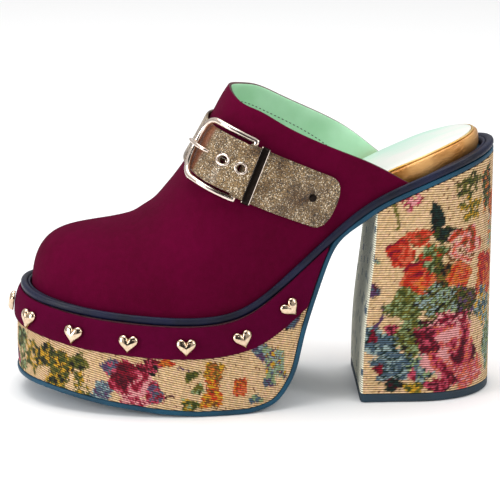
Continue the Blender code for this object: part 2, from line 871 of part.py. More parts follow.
def between(table, row, column_place):
    """Values of a table between its rows and columns."""
    i = np.clip(row.astype(int), 0, table.shape[0] - 2)
    j = np.clip(column_place.astype(int), 0, table.shape[1] - 2)
    s = (row - i)[:, None]
    t = (column_place - j)[:, None]
    low = table[i, j] * (1 - t) + table[i, j + 1] * t
    high = table[i + 1, j] * (1 - t) + table[i + 1, j + 1] * t
    return low * (1 - s) + high * s


def on_strap(place, across, height):
    """World points: place along the strap from the bar, rearwards on the outer side; across it; above the upper."""
    place, across, height = np.broadcast_arrays(place, across, height)
    row = np.interp(-place.ravel(), -SHEET_PLACES, np.arange(SHEET_TURNS))
    column_place = np.interp(across.ravel(), SHEET_ACROSS, np.arange(len(SHEET_ACROSS)))
    normal = between(SHEET_NORMAL, row, column_place)
    normal /= np.linalg.norm(normal, axis=1)[:, None]
    points = between(SHEET, row, column_place) + normal * height.ravel()[:, None]
    return points.reshape(place.shape + (3,))


def sandwich(name, top, bottom, finish):
    """A solid between two matching grids of points, closed round their edges."""
    rows, columns = top.shape[:2]
    count = rows * columns
    faces = grid_faces(rows, columns) + [face[::-1] for face in grid_faces(rows, columns, count)]
    rim = [j for j in range(columns)]
    rim += [i * columns + columns - 1 for i in range(1, rows)]
    rim += [(rows - 1) * columns + j for j in range(columns - 2, -1, -1)]
    rim += [i * columns for i in range(rows - 2, 0, -1)]
    faces += [(a, b, b + count, a + count) for a, b in zip(rim, rim[1:] + rim[:1])]
    return piece(name, np.concatenate([top.reshape(-1, 3), bottom.reshape(-1, 3)]), faces, finish)


def rounded_end(across, half_width, depth):
    """How far an end steps back at a distance from the middle of the strap."""
    share = np.clip(np.abs(across) / half_width, 0, 1)
    return depth * (1 - (1 - share**END_SQUARENESS) ** (1 / END_SQUARENESS))


def tab_middle(place):
    """Height of the folded tab's middle: raised over the keeper's lower leg, low at the rivet."""
    low = GAP + TAB_THICKNESS + GAP / 2
    return low + (KEEPER_THICKNESS + GAP) * ease((RIVET_MIDDLE - place) / (RIVET_MIDDLE - KEEPER_MIDDLE - KEEPER_WIDTH))


ROLL_RADIUS = BAR_RADIUS + GAP + TAB_THICKNESS
BAR_HEIGHT = ROLL_RADIUS + GAP


def strap_underside(place):
    """Height of the strap's underside: over the tab, over its roll round the bar, and down to the upper."""
    tab_top = tab_middle(place) + TAB_THICKNESS + GAP / 2 + GAP
    roll_top = BAR_HEIGHT + ROLL_RADIUS + GAP
    over = tab_top + (roll_top - tab_top) * (1 - ease((place - ROLL_RADIUS) / 5 / MM))
    front = STRAP_GAP + STRAP_STAND * (1 - ease((-place - FRAME_LENGTH) / FRAME_LENGTH))
    down = front + (roll_top - front) * (1 - ease(-place / FRAME_LENGTH) ** 1.4)
    return np.where(place > 0, over, down)


STRAP_ROWS = 38
STRAP_COLUMNS = 6


def make_strap():
    half = STRAP_WIDTH / 2
    across = half * np.sin(np.linspace(-1, 1, STRAP_COLUMNS) * math.pi / 2)
    step = rounded_end(across, half, STRAP_TIP_ROUND)
    share = np.linspace(0, 1, STRAP_ROWS)[:, None]
    place = (TIP_END - step) * (1 - share) + (INNER_END + step) * share
    low = strap_underside(place)
    grid = np.broadcast_to(across, place.shape)
    return sandwich("strap", on_strap(place, grid, low + STRAP_THICKNESS), on_strap(place, grid, low), "glitter")


TAB_COLUMNS = 6


def make_strap_tab():
    """The anchor piece: one strip folded round the buckle bar, both layers sewn down at the rear."""
    half = TAB_WIDTH / 2
    across = half * np.sin(np.linspace(-1, 1, TAB_COLUMNS) * math.pi / 2)
    layer = (TAB_THICKNESS + GAP) / 2
    neck = ROLL_RADIUS + 2 * TAB_THICKNESS
    arc = np.linspace(-1, 1, 9) * (math.pi - math.asin(2 * layer / ROLL_RADIUS))
    middle = BAR_RADIUS + GAP + TAB_THICKNESS / 2
    inner, outer = [], []
    for v in across:
        end = TAB_END - rounded_end(v, half, TAB_END_ROUND)
        run = np.linspace(end, neck, 8)
        lower = np.column_stack([run, tab_middle(run) - layer])
        upper = np.column_stack([run, tab_middle(run) + layer])[::-1]
        fold = np.column_stack([-middle * np.cos(arc), BAR_HEIGHT + middle * np.sin(arc)])
        line = np.concatenate([lower, fold, upper])
        ahead = np.gradient(line, axis=0)
        ahead /= np.linalg.norm(ahead, axis=1)[:, None]
        side = np.stack([ahead[:, 1], -ahead[:, 0]], -1) * TAB_THICKNESS / 2
        inner.append(line - side)
        outer.append(line + side)
    inner, outer = np.array(inner), np.array(outer)
    wide = np.broadcast_to(across[:, None], inner.shape[:2])
    return sandwich(
        "strap_tab",
        on_strap(outer[..., 0], wide, outer[..., 1]),
        on_strap(inner[..., 0], wide, inner[..., 1]),
        "glitter",
    )


def wire(name, points, radii, finish, closed=False):
    """A tube along a line of points, as a curve with a round bevel."""
    curve = bpy.data.curves.new(name, "CURVE")
    curve.dimensions = "3D"
    curve.bevel_depth = 1.0
    curve.bevel_resolution = 2
    curve.use_fill_caps = not closed
    line = curve.splines.new("POLY")
    line.points.add(len(points) - 1)
    line.use_cyclic_u = closed
    for corner, point, radius in zip(line.points, points, radii):
        corner.co = (*point, 1.0)
        corner.radius = radius
    curve.materials.append(material(finish))
    made = bpy.data.objects.new(name, curve)
    parts.objects.link(made)
    return made


def frame_height(place):
    """Height of the buckle frame's centre line, from under the strap at the bar to over it in front."""
    front = strap_underside(np.array(-FRAME_LENGTH)) + STRAP_THICKNESS + 2 * GAP + FRAME_RADIUS
    share = ease(-place / FRAME_LENGTH)
    return BAR_HEIGHT + (front - BAR_HEIGHT) * share


def make_buckle_frame():
    half = STRAP_WIDTH / 2 + FRAME_SIDE_GAP + FRAME_RADIUS
    low_half = STRAP_WIDTH / 2 + FRAME_FOOT_GAP + FRAME_RADIUS
    turn = np.linspace(-1, 1, 13) * math.pi / 2
    bend_place = -FRAME_LENGTH + FRAME_BEND * (1 - np.cos(turn) ** 0.8)
    bend_across = np.abs(np.sin(turn)) ** 0.85 * np.sign(turn)
    arm = np.linspace(-FRAME_LENGTH + FRAME_BEND, 0, 6)[1:]
    bar = np.linspace(1, -1, 7)[1:-1]
    place = np.concatenate([bend_place, arm, bar * 0, arm[::-1]])
    across = np.concatenate([bend_across, arm * 0 + 1, bar, arm * 0 - 1])
    on_bar = np.isclose(place, 0) & (np.abs(across) < 1 - FRAME_RADIUS / half)
    height = frame_height(place)
    # The front is set askew: its lower corner sits further back.
    place = place * (1 - FRAME_SKEW / FRAME_LENGTH * (1 - across) / 2)
    across = np.where(across > 0, across * half, across * low_half)
    radii = np.where(on_bar, BAR_RADIUS, FRAME_RADIUS)
    return wire("buckle_frame", on_strap(place, across, height), radii, "pale_gold", closed=True)


PRONG_POINTS = 20


def make_buckle_prong():
    """The tongue: under the strap from the bar, up through a hole and over the frame's front end."""
    hole = PRONG_HOLE
    low = BAR_HEIGHT
    top = float(frame_height(np.array(-FRAME_LENGTH))) + FRAME_RADIUS + GAP + PRONG_RADIUS
    surface = float(strap_underside(np.array(hole)))
    rows = (
        (-ROLL_RADIUS - GAP - PRONG_RADIUS, low),
        (hole * 0.5, min(low, surface - GAP - PRONG_RADIUS)),
        (hole + 2.2 * MM, surface - GAP - PRONG_RADIUS),
        (hole + 0.5 * MM, surface + STRAP_THICKNESS * 0.3),
        (hole - 1.0 * MM, surface + STRAP_THICKNESS + GAP + PRONG_RADIUS),
        (-FRAME_LENGTH * 0.86, top - 0.4 * MM),
        (-FRAME_LENGTH - 0.8 * MM, top),
    )
    line = through(rows, PRONG_POINTS)
    points = on_strap(line[:, 0], line[:, 0] * 0 + EYELET_ACROSS, line[:, 1])
    return wire("buckle_prong", points, np.full(PRONG_POINTS, PRONG_RADIUS), "pale_gold")


def make_keeper():
    """A flat metal loop round the strap and the tab."""
    half = TAB_WIDTH / 2 + GAP
    flat = half - KEEPER_CORNER
    front = KEEPER_MIDDLE - KEEPER_WIDTH / 2
    rear = KEEPER_MIDDLE + KEEPER_WIDTH / 2
    rings = []
    for place, out in ((front, 0), (front, KEEPER_THICKNESS), (rear, KEEPER_THICKNESS), (rear, 0)):
        low = tab_middle(place) - TAB_THICKNESS - GAP * 1.5
        high = strap_top(place) + GAP
        corner = KEEPER_CORNER + out
        across, height = [], []
        for quarter, (sx, level, up) in enumerate(((1, high, 1), (-1, high, 1), (-1, low, -1), (1, low, -1))):
            angle = np.linspace(0, math.pi / 2, 3) + quarter * math.pi / 2
            across += list(sx * flat + corner * np.cos(angle))
            height += list(level - up * KEEPER_CORNER + corner * np.sin(angle))
            if quarter in (0, 2):
                span = np.linspace(sx, -sx, 7)[1:-1] * flat
                across += list(span)
                height += list(span * 0 + level + up * out)
        rings.append(on_strap(np.full(len(across), place), np.array(across), np.array(height)))
    return loop_of_rings("keeper", rings, "pale_gold")


def strap_top(place):
    return strap_underside(np.asarray(place, float)) + STRAP_THICKNESS


def make_eyelet(name, place):
    """A metal ring lying on the strap round its hole."""
    turn = np.linspace(0, 2 * math.pi, 15)[:-1]
    rings = []
    for radius, up in (
        (EYELET_HOLE, 0.0),
        (EYELET_RADIUS, 0.0),
        (EYELET_RADIUS - EYELET_HEIGHT / 2, 1.0),
        (EYELET_HOLE, 1.0),
    ):
        run = place + radius * np.cos(turn)
        across = EYELET_ACROSS + radius * np.sin(turn)
        rings.append(on_strap(run, across, strap_top(run) + GAP + up * EYELET_HEIGHT))
    return loop_of_rings(name, rings, "pale_gold")


def make_tab_rivet():
    """A low round rivet through both layers of the tab, near its end."""
    turn = np.linspace(0, 2 * math.pi, RIVET_CORNERS + 1)[:-1]
    rings = []
    for radius, up in ((1.0, 0.0), (1.0, 0.5), (0.6, 1.0)):
        run = RIVET_MIDDLE + radius * RIVET_RADIUS * np.cos(turn)
        across = EYELET_ACROSS + radius * RIVET_RADIUS * np.sin(turn)
        top = tab_middle(run) + TAB_THICKNESS + GAP / 2
        rings.append(on_strap(run, across, top + GAP + up * RIVET_HEIGHT))
    faces = [tuple(range(RIVET_CORNERS))]
    for level in range(len(rings) - 1):
        faces += ring_wall(RIVET_CORNERS, level * RIVET_CORNERS, (level + 1) * RIVET_CORNERS)
    faces.append(tuple(range((len(rings) - 1) * RIVET_CORNERS, len(rings) * RIVET_CORNERS)))
    return piece("tab_rivet", np.concatenate(rings), faces, "dark_metal")


def cut_hole(target, place):
    """Cuts an eyelet's hole through the strap with a cylinder across it."""
    base = on_strap(np.array([place]), np.array([EYELET_ACROSS]), strap_top([place]))[0]
    inside = on_strap(np.array([place]), np.array([EYELET_ACROSS]), np.array([0.0]))[0]
    bpy.ops.mesh.primitive_cylinder_add(vertices=12, radius=EYELET_HOLE, depth=8 * MM, location=base)
    cutter = bpy.context.object
    cutter.name = f"hole_cutter_{abs(round(place / MM))}"
    cutter.rotation_mode = "QUATERNION"
    cutter.rotation_quaternion = Vector(base - inside).to_track_quat("Z", "Y")
    cutter.hide_render = True
    cutter.display_type = "WIRE"
    for holder in list(cutter.users_collection):
        holder.objects.unlink(cutter)
    cutters.objects.link(cutter)
    cut = target.modifiers.new("hole", "BOOLEAN")
    cut.operation = "DIFFERENCE"
    cut.solver = "EXACT"
    cut.object = cutter


# Studs

def heart(turn):
    """The outline of a heart, one wide and one high, pointing down."""
    across = 16 * np.sin(turn) ** 3
    up = 13 * np.cos(turn) - 5 * np.cos(2 * turn) - 2 * np.cos(3 * turn) - np.cos(4 * turn)
    return across / 32, (up + 2.5) / 29


HEART_CORNERS = 14
# The stud's rounded face: share of its size, and share of how far it stands proud
HEART_ROWS = (
    # size, proud
    (1.00, 0.00),
    (0.94, 0.50),
    (0.55, 0.94),
)


def band_line(level):
    """A line along the band's face, from the outer rear round the toe to the inner rear."""
    reach = STATIONS[along(STATIONS) < BACK_START + 0.12]
    corners = ring(
        lambda x: band_surface(x, level, BAND_THICKNESS)[0],
        lambda x: band_surface(x, level, BAND_THICKNESS)[1],
        reach,
        back=False,
    )
    turn = len(reach) + 1
    return np.concatenate([corners[1:turn][::-1], corners[:1], corners[turn:][::-1]])


def stud_seats():
    """Places of the studs on the band, each with its directions along the band, up it and out of it."""
    line, high, low = (band_line(STUD_LEVEL + shift) for shift in (0, -0.2, 0.2))
    steps = np.linalg.norm(np.diff(line, axis=0), axis=1)
    lengths = np.concatenate([[0], np.cumsum(steps)]) - steps[: len(line) // 2].sum()

    def at(points, place):
        return np.array([np.interp(place, lengths, points[:, k]) for k in range(3)])

    for number in range(-STUDS_EACH_SIDE, STUDS_EACH_SIDE + 1):
        place = number * STUD_PITCH
        run = at(line, place + STUD_WIDTH / 2) - at(line, place - STUD_WIDTH / 2)
        rise = at(high, place) - at(low, place)
        out = np.cross(rise, run)
        out /= np.linalg.norm(out)
        run /= np.linalg.norm(run)
        yield number, at(line, place), run, np.cross(run, out), out


def make_studs():
    turn = np.linspace(0, 2 * math.pi, HEART_CORNERS + 1)[:-1]
    across, up = heart(turn)
    for number, here, run, rise, out in stud_seats():
        corners, faces = [], []
        for size, proud in HEART_ROWS:
            level = here + out * (GAP + proud * STUD_PROUD)
            flat = np.outer(across * size * STUD_WIDTH, run) + np.outer(up * size * STUD_HEIGHT, rise)
            corners.append(level + flat)
        corners.append([here + out * (GAP + STUD_PROUD)])
        for level in range(len(HEART_ROWS) - 1):
            faces += ring_wall(HEART_CORNERS, level * HEART_CORNERS, (level + 1) * HEART_CORNERS)
        last = (len(HEART_ROWS) - 1) * HEART_CORNERS
        peak = last + HEART_CORNERS
        faces += [(last + j, last + (j + 1) % HEART_CORNERS, peak) for j in range(HEART_CORNERS)]
        faces.append(tuple(range(HEART_CORNERS))[::-1])
        name = f"heart_stud_{number + STUDS_EACH_SIDE + 1:02d}"
        piece(name, np.concatenate(corners), faces, "pale_gold", sharp=70.0)


# The whole shoe

def clear_scene():
    for found in list(bpy.data.objects):
        bpy.data.objects.remove(found, do_unlink=True)


def centre():
    """Moves the whole shoe so that the origin lies under the middle of its box."""
    bpy.context.view_layer.update()
    found = bpy.context.evaluated_depsgraph_get()
    corners = [
        item.matrix_world @ Vector(corner)
        for item in (made.evaluated_get(found) for made in parts.objects)
        for corner in item.bound_box
    ]
    middle_x = (min(c.x for c in corners) + max(c.x for c in corners)) / 2
    middle_y = (min(c.y for c in corners) + max(c.y for c in corners)) / 2
    for made in list(parts.objects) + list(cutters.objects):
        made.location.x -= middle_x
        made.location.y -= middle_y
    print("moved by", round(-middle_x / MM, 3), round(-middle_y / MM, 3), "mm")


clear_scene()
cutters = bpy.data.collections.new("cutters")
bpy.context.scene.collection.children.link(parts)
bpy.context.scene.collection.children.link(cutters)

make_outsole()
make_platform()
make_platform_band()
make_welt()
make_footbed()
make_sock()
make_heel()
make_heel_tip()
make_upper()
strap = make_strap()
make_strap_tab()
make_buckle_frame()
make_buckle_prong()
make_keeper()
for number, place in enumerate(EYELET_MIDDLES + (PRONG_HOLE,), 1):
    cut_hole(strap, place)
    if place != PRONG_HOLE:
        make_eyelet(f"eyelet_{number}", place)
make_tab_rivet()
make_studs()
centre()
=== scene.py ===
# %% [markdown]
# # A left platform clog, dressed for its photograph
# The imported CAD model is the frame: its solids give the true form. This lesson works the same
# outlines out again on fine grids, one piece at a time, and gives every finish its own nodes.

# %% Frame
import math

import bmesh
import bpy
import numpy as np
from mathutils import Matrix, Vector


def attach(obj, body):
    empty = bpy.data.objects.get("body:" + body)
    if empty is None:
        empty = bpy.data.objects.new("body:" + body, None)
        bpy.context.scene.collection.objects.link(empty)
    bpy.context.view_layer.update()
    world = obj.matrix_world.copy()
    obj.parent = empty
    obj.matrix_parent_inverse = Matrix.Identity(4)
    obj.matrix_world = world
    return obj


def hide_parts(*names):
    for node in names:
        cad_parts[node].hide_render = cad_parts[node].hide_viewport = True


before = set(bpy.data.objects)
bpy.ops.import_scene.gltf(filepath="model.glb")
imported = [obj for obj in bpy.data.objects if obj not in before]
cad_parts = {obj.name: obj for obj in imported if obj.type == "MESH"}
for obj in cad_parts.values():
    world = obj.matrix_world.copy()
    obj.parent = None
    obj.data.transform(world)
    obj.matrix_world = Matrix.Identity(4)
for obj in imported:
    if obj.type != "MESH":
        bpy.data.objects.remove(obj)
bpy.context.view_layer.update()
MM = 0.001

# %% [markdown]
# ## The last
# A shoe is built round a last. Its feather line, where the upper meets the sole, is one closed
# curve, and the seat line says how high it runs. Both are short tables of shares of the named
# sizes, joined by a natural cubic. The same numbers made the CAD solids, so each fine piece lands
# on its solid with no fitting.

# %% Sizes and tables
FEATHER_LENGTH = 227.5 * MM
BALL_WIDTH = 83.0 * MM
INSTEP_HEIGHT = 111.0 * MM
PLATFORM_HEIGHT = 44.9 * MM
HEEL_LIFT = 78.8 * MM
SEAT_TOE_SPRING = 7.6 * MM
FLOOR_TOE_SPRING = 10.7 * MM
GAP = 0.3 * MM
UPPER_WALL = 2.0 * MM
OUTSOLE_THICKNESS = 2.3 * MM
OUTSOLE_EDGE = 0.8 * MM
FLARE_TOE, FLARE_WAIST = 7.8 * MM, 4.3 * MM
FRONT = -FEATHER_LENGTH / 2
# The CAD model was moved so that its origin lies under the middle of its box.
SHIFT = np.array([4.321, 2.718, 0.0]) * MM

FEATHER_ROWS = np.array([
    # along, outer, inner
    (0.018, 0.185, 0.200), (0.065, 0.328, 0.318), (0.140, 0.440, 0.420), (0.240, 0.512, 0.466),
    (0.340, 0.530, 0.445), (0.450, 0.495, 0.375), (0.560, 0.430, 0.325), (0.680, 0.370, 0.318),
    (0.800, 0.352, 0.335), (0.890, 0.336, 0.322), (0.955, 0.250, 0.240), (0.989, 0.130, 0.125),
])
SEAT_ROWS = np.array([
    # along, toe, lift
    (0.000, 1.00, 0.000), (0.130, 0.45, 0.000), (0.250, 0.16, 0.000), (0.365, 0.00, 0.004),
    (0.475, 0.00, 0.068), (0.560, 0.00, 0.245), (0.650, 0.00, 0.476), (0.740, 0.00, 0.684),
    (0.820, 0.00, 0.804), (0.910, 0.00, 0.912), (1.000, 0.00, 1.000),
])
UNDERSIDE_ROWS = (
    # along, toe, back
    (-0.034, 1.00, 0.000), (0.045, 0.86, 0.000), (0.155, 0.49, 0.000), (0.220, 0.31, 0.000),
    (0.275, 0.16, 0.000), (0.315, 0.08, 0.000), (0.350, 0.02, 0.000), (0.375, -0.02, 0.000),
    (0.415, -0.03, 0.000), (0.458, -0.02, 0.000), (0.495, 0.00, 0.010), (0.532, 0.00, 0.048),
    (0.558, 0.00, 0.128), (0.577, 0.00, 0.233), (0.592, 0.00, 0.400), (0.608, 0.00, 0.553),
    (0.625, 0.00, 0.692), (0.639, 0.00, 0.800),
)
FLARE_ROWS = np.array([
    # depth, flare
    (0.00, 0.62), (0.14, 0.84), (0.28, 0.96), (0.42, 1.00), (0.70, 1.02), (1.00, 0.92),
])
UPPER_ROWS = np.array([
    # along, ridge, aside, square, outer, inner
    (0.0000, 0.075, 0.030, 2.20, 1.00, 1.00), (0.0020, 0.135, 0.030, 2.20, 1.00, 1.00),
    (0.0110, 0.215, 0.030, 2.20, 1.00, 1.00), (0.0330, 0.288, 0.028, 2.25, 1.01, 1.01),
    (0.0720, 0.337, 0.025, 2.30, 1.02, 1.02), (0.1430, 0.366, 0.020, 2.30, 1.02, 1.02),
    (0.2090, 0.392, 0.015, 2.25, 1.02, 1.02), (0.2480, 0.432, 0.010, 2.20, 1.02, 1.03),
    (0.2840, 0.496, 0.010, 2.20, 1.02, 1.05), (0.3450, 0.657, 0.010, 2.25, 1.03, 1.10),
    (0.4040, 0.873, 0.010, 2.30, 1.04, 1.17), (0.4350, 0.984, 0.010, 2.30, 1.04, 1.21),
    (0.5120, 1.150, 0.010, 2.40, 1.05, 1.28), (0.6660, 1.300, 0.010, 2.50, 1.10, 1.26),
    (0.8420, 1.360, 0.010, 2.50, 1.12, 1.12),
])
COLLAR_ROWS = np.array([
    # along, outer, inner
    (0.4350, 0.984, 0.984), (0.4520, 0.957, 0.972), (0.4920, 0.925, 0.952), (0.5460, 0.867, 0.898),
    (0.5990, 0.812, 0.843), (0.6545, 0.762, 0.787), (0.7080, 0.715, 0.722), (0.7640, 0.657, 0.636),
    (0.7990, 0.616, 0.590), (0.8250, 0.587, 0.587),
])
BREAST_ROWS = np.array([(0.00, 0.00), (0.25, 0.06), (0.50, 0.35), (0.75, 0.78), (1.00, 1.00)])
print("feather length", round(FEATHER_LENGTH / MM, 1), "mm, heel lift", round(HEEL_LIFT / MM, 1), "mm")


# %% Curves
def spline(knots, values, at):
    """Natural cubic through the rows: in each span a cubic whose bend agrees at the knots."""
    x, y, at = (np.asarray(v, float) for v in (knots, values, at))
    h = np.diff(x)
    slope = np.diff(y) / h
    matrix = np.eye(len(x))
    right = np.zeros(len(x))
    for i in range(1, len(x) - 1):
        matrix[i, i - 1:i + 2] = h[i - 1], 2 * (h[i - 1] + h[i]), h[i]
        right[i] = 6 * (slope[i] - slope[i - 1])
    bend = np.linalg.solve(matrix, right)
    i = np.clip(np.searchsorted(x, at) - 1, 0, len(h) - 1)
    t = at - x[i]
    start = slope[i] - h[i] * (2 * bend[i] + bend[i + 1]) / 6
    inside = y[i] + t * start + t**2 * bend[i] / 2 + t**3 * (bend[i + 1] - bend[i]) / (6 * h[i])
    first = slope[0] - h[0] * bend[1] / 6
    last = slope[-1] + h[-1] * bend[-2] / 6
    inside = np.where(at < x[0], y[0] + (at - x[0]) * first, inside)
    return np.where(at > x[-1], y[-1] + (at - x[-1]) * last, inside)


def through(points, count):
    """A smooth open curve of count points through the given ones."""
    points = np.asarray(points, float)
    steps = np.sqrt(np.linalg.norm(np.diff(points, axis=0), axis=1))
    knots = np.concatenate([[0], np.cumsum(steps)])
    at = np.linspace(0, knots[-1], count)
    return np.stack([spline(knots, values, at) for values in points.T], -1)


def ease(t):
    """0 before, 1 after, and a smooth step 3t^2 - 2t^3 between."""
    t = np.clip(t, 0, 1)
    return t * t * (3 - 2 * t)


def along(x):
    """Share of the feather length at x."""
    return (np.asarray(x) - FRONT) / FEATHER_LENGTH


# %% Feather line
def feather_loop(count=2880):
    """Closed cubic through the tip, the outer rows, the back and the inner rows."""
    across = FRONT + FEATHER_ROWS[:, 0] * FEATHER_LENGTH
    outer = np.column_stack([across, -FEATHER_ROWS[:, 1] * BALL_WIDTH])
    inner = np.column_stack([across, FEATHER_ROWS[:, 2] * BALL_WIDTH])
    loop = np.vstack([[(FRONT, 0.03 * BALL_WIDTH)], outer, [(-FRONT, 0)], inner[::-1]])
    points = np.vstack([loop[-6:], loop, loop[:7]])
    steps = np.sqrt(np.linalg.norm(np.diff(points, axis=0), axis=1))
    knots = np.concatenate([[0], np.cumsum(steps)])
    at = np.linspace(knots[6], knots[6 + len(loop)], count, endpoint=False)
    return np.stack([spline(knots, points[:, 0], at), spline(knots, points[:, 1], at)], -1)


LOOP = feather_loop()
ahead = np.roll(LOOP, -1, axis=0) - np.roll(LOOP, 1, axis=0)
LOOP_NORMAL = np.stack([ahead[:, 1], -ahead[:, 0]], -1) / np.linalg.norm(ahead, axis=1)[:, None]
if ((LOOP - LOOP.mean(axis=0)) * LOOP_NORMAL).sum() < 0:
    LOOP_NORMAL = -LOOP_NORMAL
TIP_AT, BACK_AT = int(np.argmin(LOOP[:, 0])), int(np.argmax(LOOP[:, 0]))
SIDES = {
    "outer": np.arange(TIP_AT, BACK_AT + 1),
    "inner": np.arange(len(LOOP) + TIP_AT, BACK_AT - 1, -1) % len(LOOP),
}


def on_feather(side, x):
    """Points and outward normals of one side of the feather line at the given x."""
    index = SIDES[side]
    place = np.interp(x, LOOP[index, 0], np.arange(len(index)))
    low = np.clip(place.astype(int), 0, len(index) - 2)
    share = (place - low)[:, None]
    a, b = index[low], index[low + 1]
    point = LOOP[a] * (1 - share) + LOOP[b] * share
    normal = LOOP_NORMAL[a] * (1 - share) + LOOP_NORMAL[b] * share
    return point, normal / np.linalg.norm(normal, axis=1)[:, None]


print("feather line", len(LOOP), "points")


# %% Side profiles
def seat(x):
    """Height of the feather line: platform height, toe spring in front, lift behind."""
    a = along(x)
    toe = spline(SEAT_ROWS[:, 0], SEAT_ROWS[:, 1], a) * SEAT_TOE_SPRING
    return PLATFORM_HEIGHT + toe + spline(SEAT_ROWS[:, 0], SEAT_ROWS[:, 2], a) * HEEL_LIFT


def seat_cosine(x):
    """Cosine of the seat line's slope."""
    rise = (seat(np.asarray(x) + MM) - seat(np.asarray(x) - MM)) / (2 * MM)
    return 1 / np.sqrt(1 + rise**2)


def over_seat(x, height):
    """A height measured square to the seat line."""
    return seat(x) + height / seat_cosine(x)


def underside_curve():
    """Underside of the outsole: flat on the floor, up the platform's back, then along the waist."""
    waist = FRONT + np.linspace(0.668, 1.035, 9) * FEATHER_LENGTH
    back_top = float(seat(waist[0]))
    rows = [
        (FRONT + a * FEATHER_LENGTH, t * FLOOR_TOE_SPRING + b * back_top) for a, t, b in UNDERSIDE_ROWS
    ]
    line = through(rows + list(zip(waist, over_seat(waist, -(OUTSOLE_THICKNESS + GAP)))), 2400)
    line[:, 1] = np.maximum(line[:, 1], 0)
    return line


def beside(line, distance):
    """The line moved up and forward by a distance across it."""
    ahead = np.gradient(line, axis=0)
    ahead /= np.linalg.norm(ahead, axis=1)[:, None]
    moved = line + distance * np.stack([-ahead[:, 1], ahead[:, 0]], -1)
    return np.maximum.accumulate(moved[:, 0]), moved[:, 1]


UNDERSIDE = underside_curve()
SHEET_TOP = beside(UNDERSIDE, OUTSOLE_THICKNESS)
PLATFORM_FOOT = beside(UNDERSIDE, OUTSOLE_THICKNESS + GAP)


def underside(x):
    """Height of the outsole's underside over x."""
    return np.interp(x, UNDERSIDE[:, 0], UNDERSIDE[:, 1])


def flare(x, depth):
    """How far the platform's side stands outside the feather line, by depth below it."""
    most = FLARE_TOE + (FLARE_WAIST - FLARE_TOE) * ease((along(x) - 0.42) / 0.2)
    return spline(FLARE_ROWS[:, 0], FLARE_ROWS[:, 1], np.clip(depth / PLATFORM_HEIGHT, 0, 1)) * most


def platform_room(x):
    """Height of the platform block between the outsole and the feather line."""
    return seat(x) - GAP / seat_cosine(x) - np.interp(x, *PLATFORM_FOOT)


print("seat", [round(float(seat(FRONT + a * FEATHER_LENGTH)) / MM, 1) for a in (0, 0.5, 1)], "mm high")

# %% [markdown]
# ## Grids that become meshes
# Most pieces here are rings round the shoe, stacked or swept. A ring is the feather line pushed
# out by an offset and lifted to a height, both functions of x. Helpers turn an array of points
# into faces, close its ends, and attach what the finishes need.

# %% Stations and rings
def stations(step, last=1.0):
    """Places along x, about a step apart along the outer edge, up to a share of the length."""
    side = LOOP[SIDES["outer"]] + LOOP_NORMAL[SIDES["outer"]] * 6 * MM
    lengths = np.concatenate([[0], np.cumsum(np.linalg.norm(np.diff(side, axis=0), axis=1))])
    stop = np.interp(last, along(LOOP[SIDES["outer"], 0]), lengths)
    at = np.linspace(0, stop, int(stop / step) + 1)
    x = np.interp(at, lengths, LOOP[SIDES["outer"], 0])
    return x[1:-1] if last >= 1 else x[1:]


def ring(offset, height, at, back=True):
    """Corners round the shoe: tip, outer side, back, inner side."""
    outer, outer_normal = on_feather("outer", at)
    inner, inner_normal = on_feather("inner", at)
    tip, tip_normal = on_feather("outer", np.array([FRONT]))
    rear, rear_normal = on_feather("outer", np.array([-FRONT]))
    rear, rear_normal = (rear, rear_normal) if back else (rear[:0], rear_normal[:0])
    base = np.concatenate([tip, outer, rear, inner[::-1]])
    normal = np.concatenate([tip_normal, outer_normal, rear_normal, inner_normal[::-1]])
    flat = base + normal * np.broadcast_to(offset(base[:, 0]), len(base))[:, None]
    return np.column_stack([flat, height(flat[:, 0])])


def ring_rows(section, offset, height, at, back=True):
    """A ring for each pair (a, b) of a section: offset(x, a) outwards and height(x, b) up."""
    return [ring(lambda x: offset(x, a), lambda x: height(x, b), at, back) for a, b in section]


def cap(count, start, back):
    """Faces across a ring: opposite corners joined by strips."""
    sides = (count - 1 - back) // 2
    faces = [(start, start + count - 1, start + 1)]
    for j in range(1, sides):
        faces.append((start + j, start + count - j, start + count - j - 1, start + j + 1))
    if back:
        faces.append((start + sides, start + sides + 2, start + sides + 1))
    return faces


def grid_faces(rows, columns, wrap_rows=False, wrap_columns=False):
    """Four corners of every cell of a grid, as one array."""
    i = np.arange(rows if wrap_rows else rows - 1)[:, None]
    j = np.arange(columns if wrap_columns else columns - 1)[None, :]
    a = i * columns + j
    b = i * columns + (j + 1) % columns
    c = (i + 1) % rows * columns + (j + 1) % columns
    d = (i + 1) % rows * columns + j
    return np.stack([a, b, c, d], -1).reshape(-1, 4).tolist()


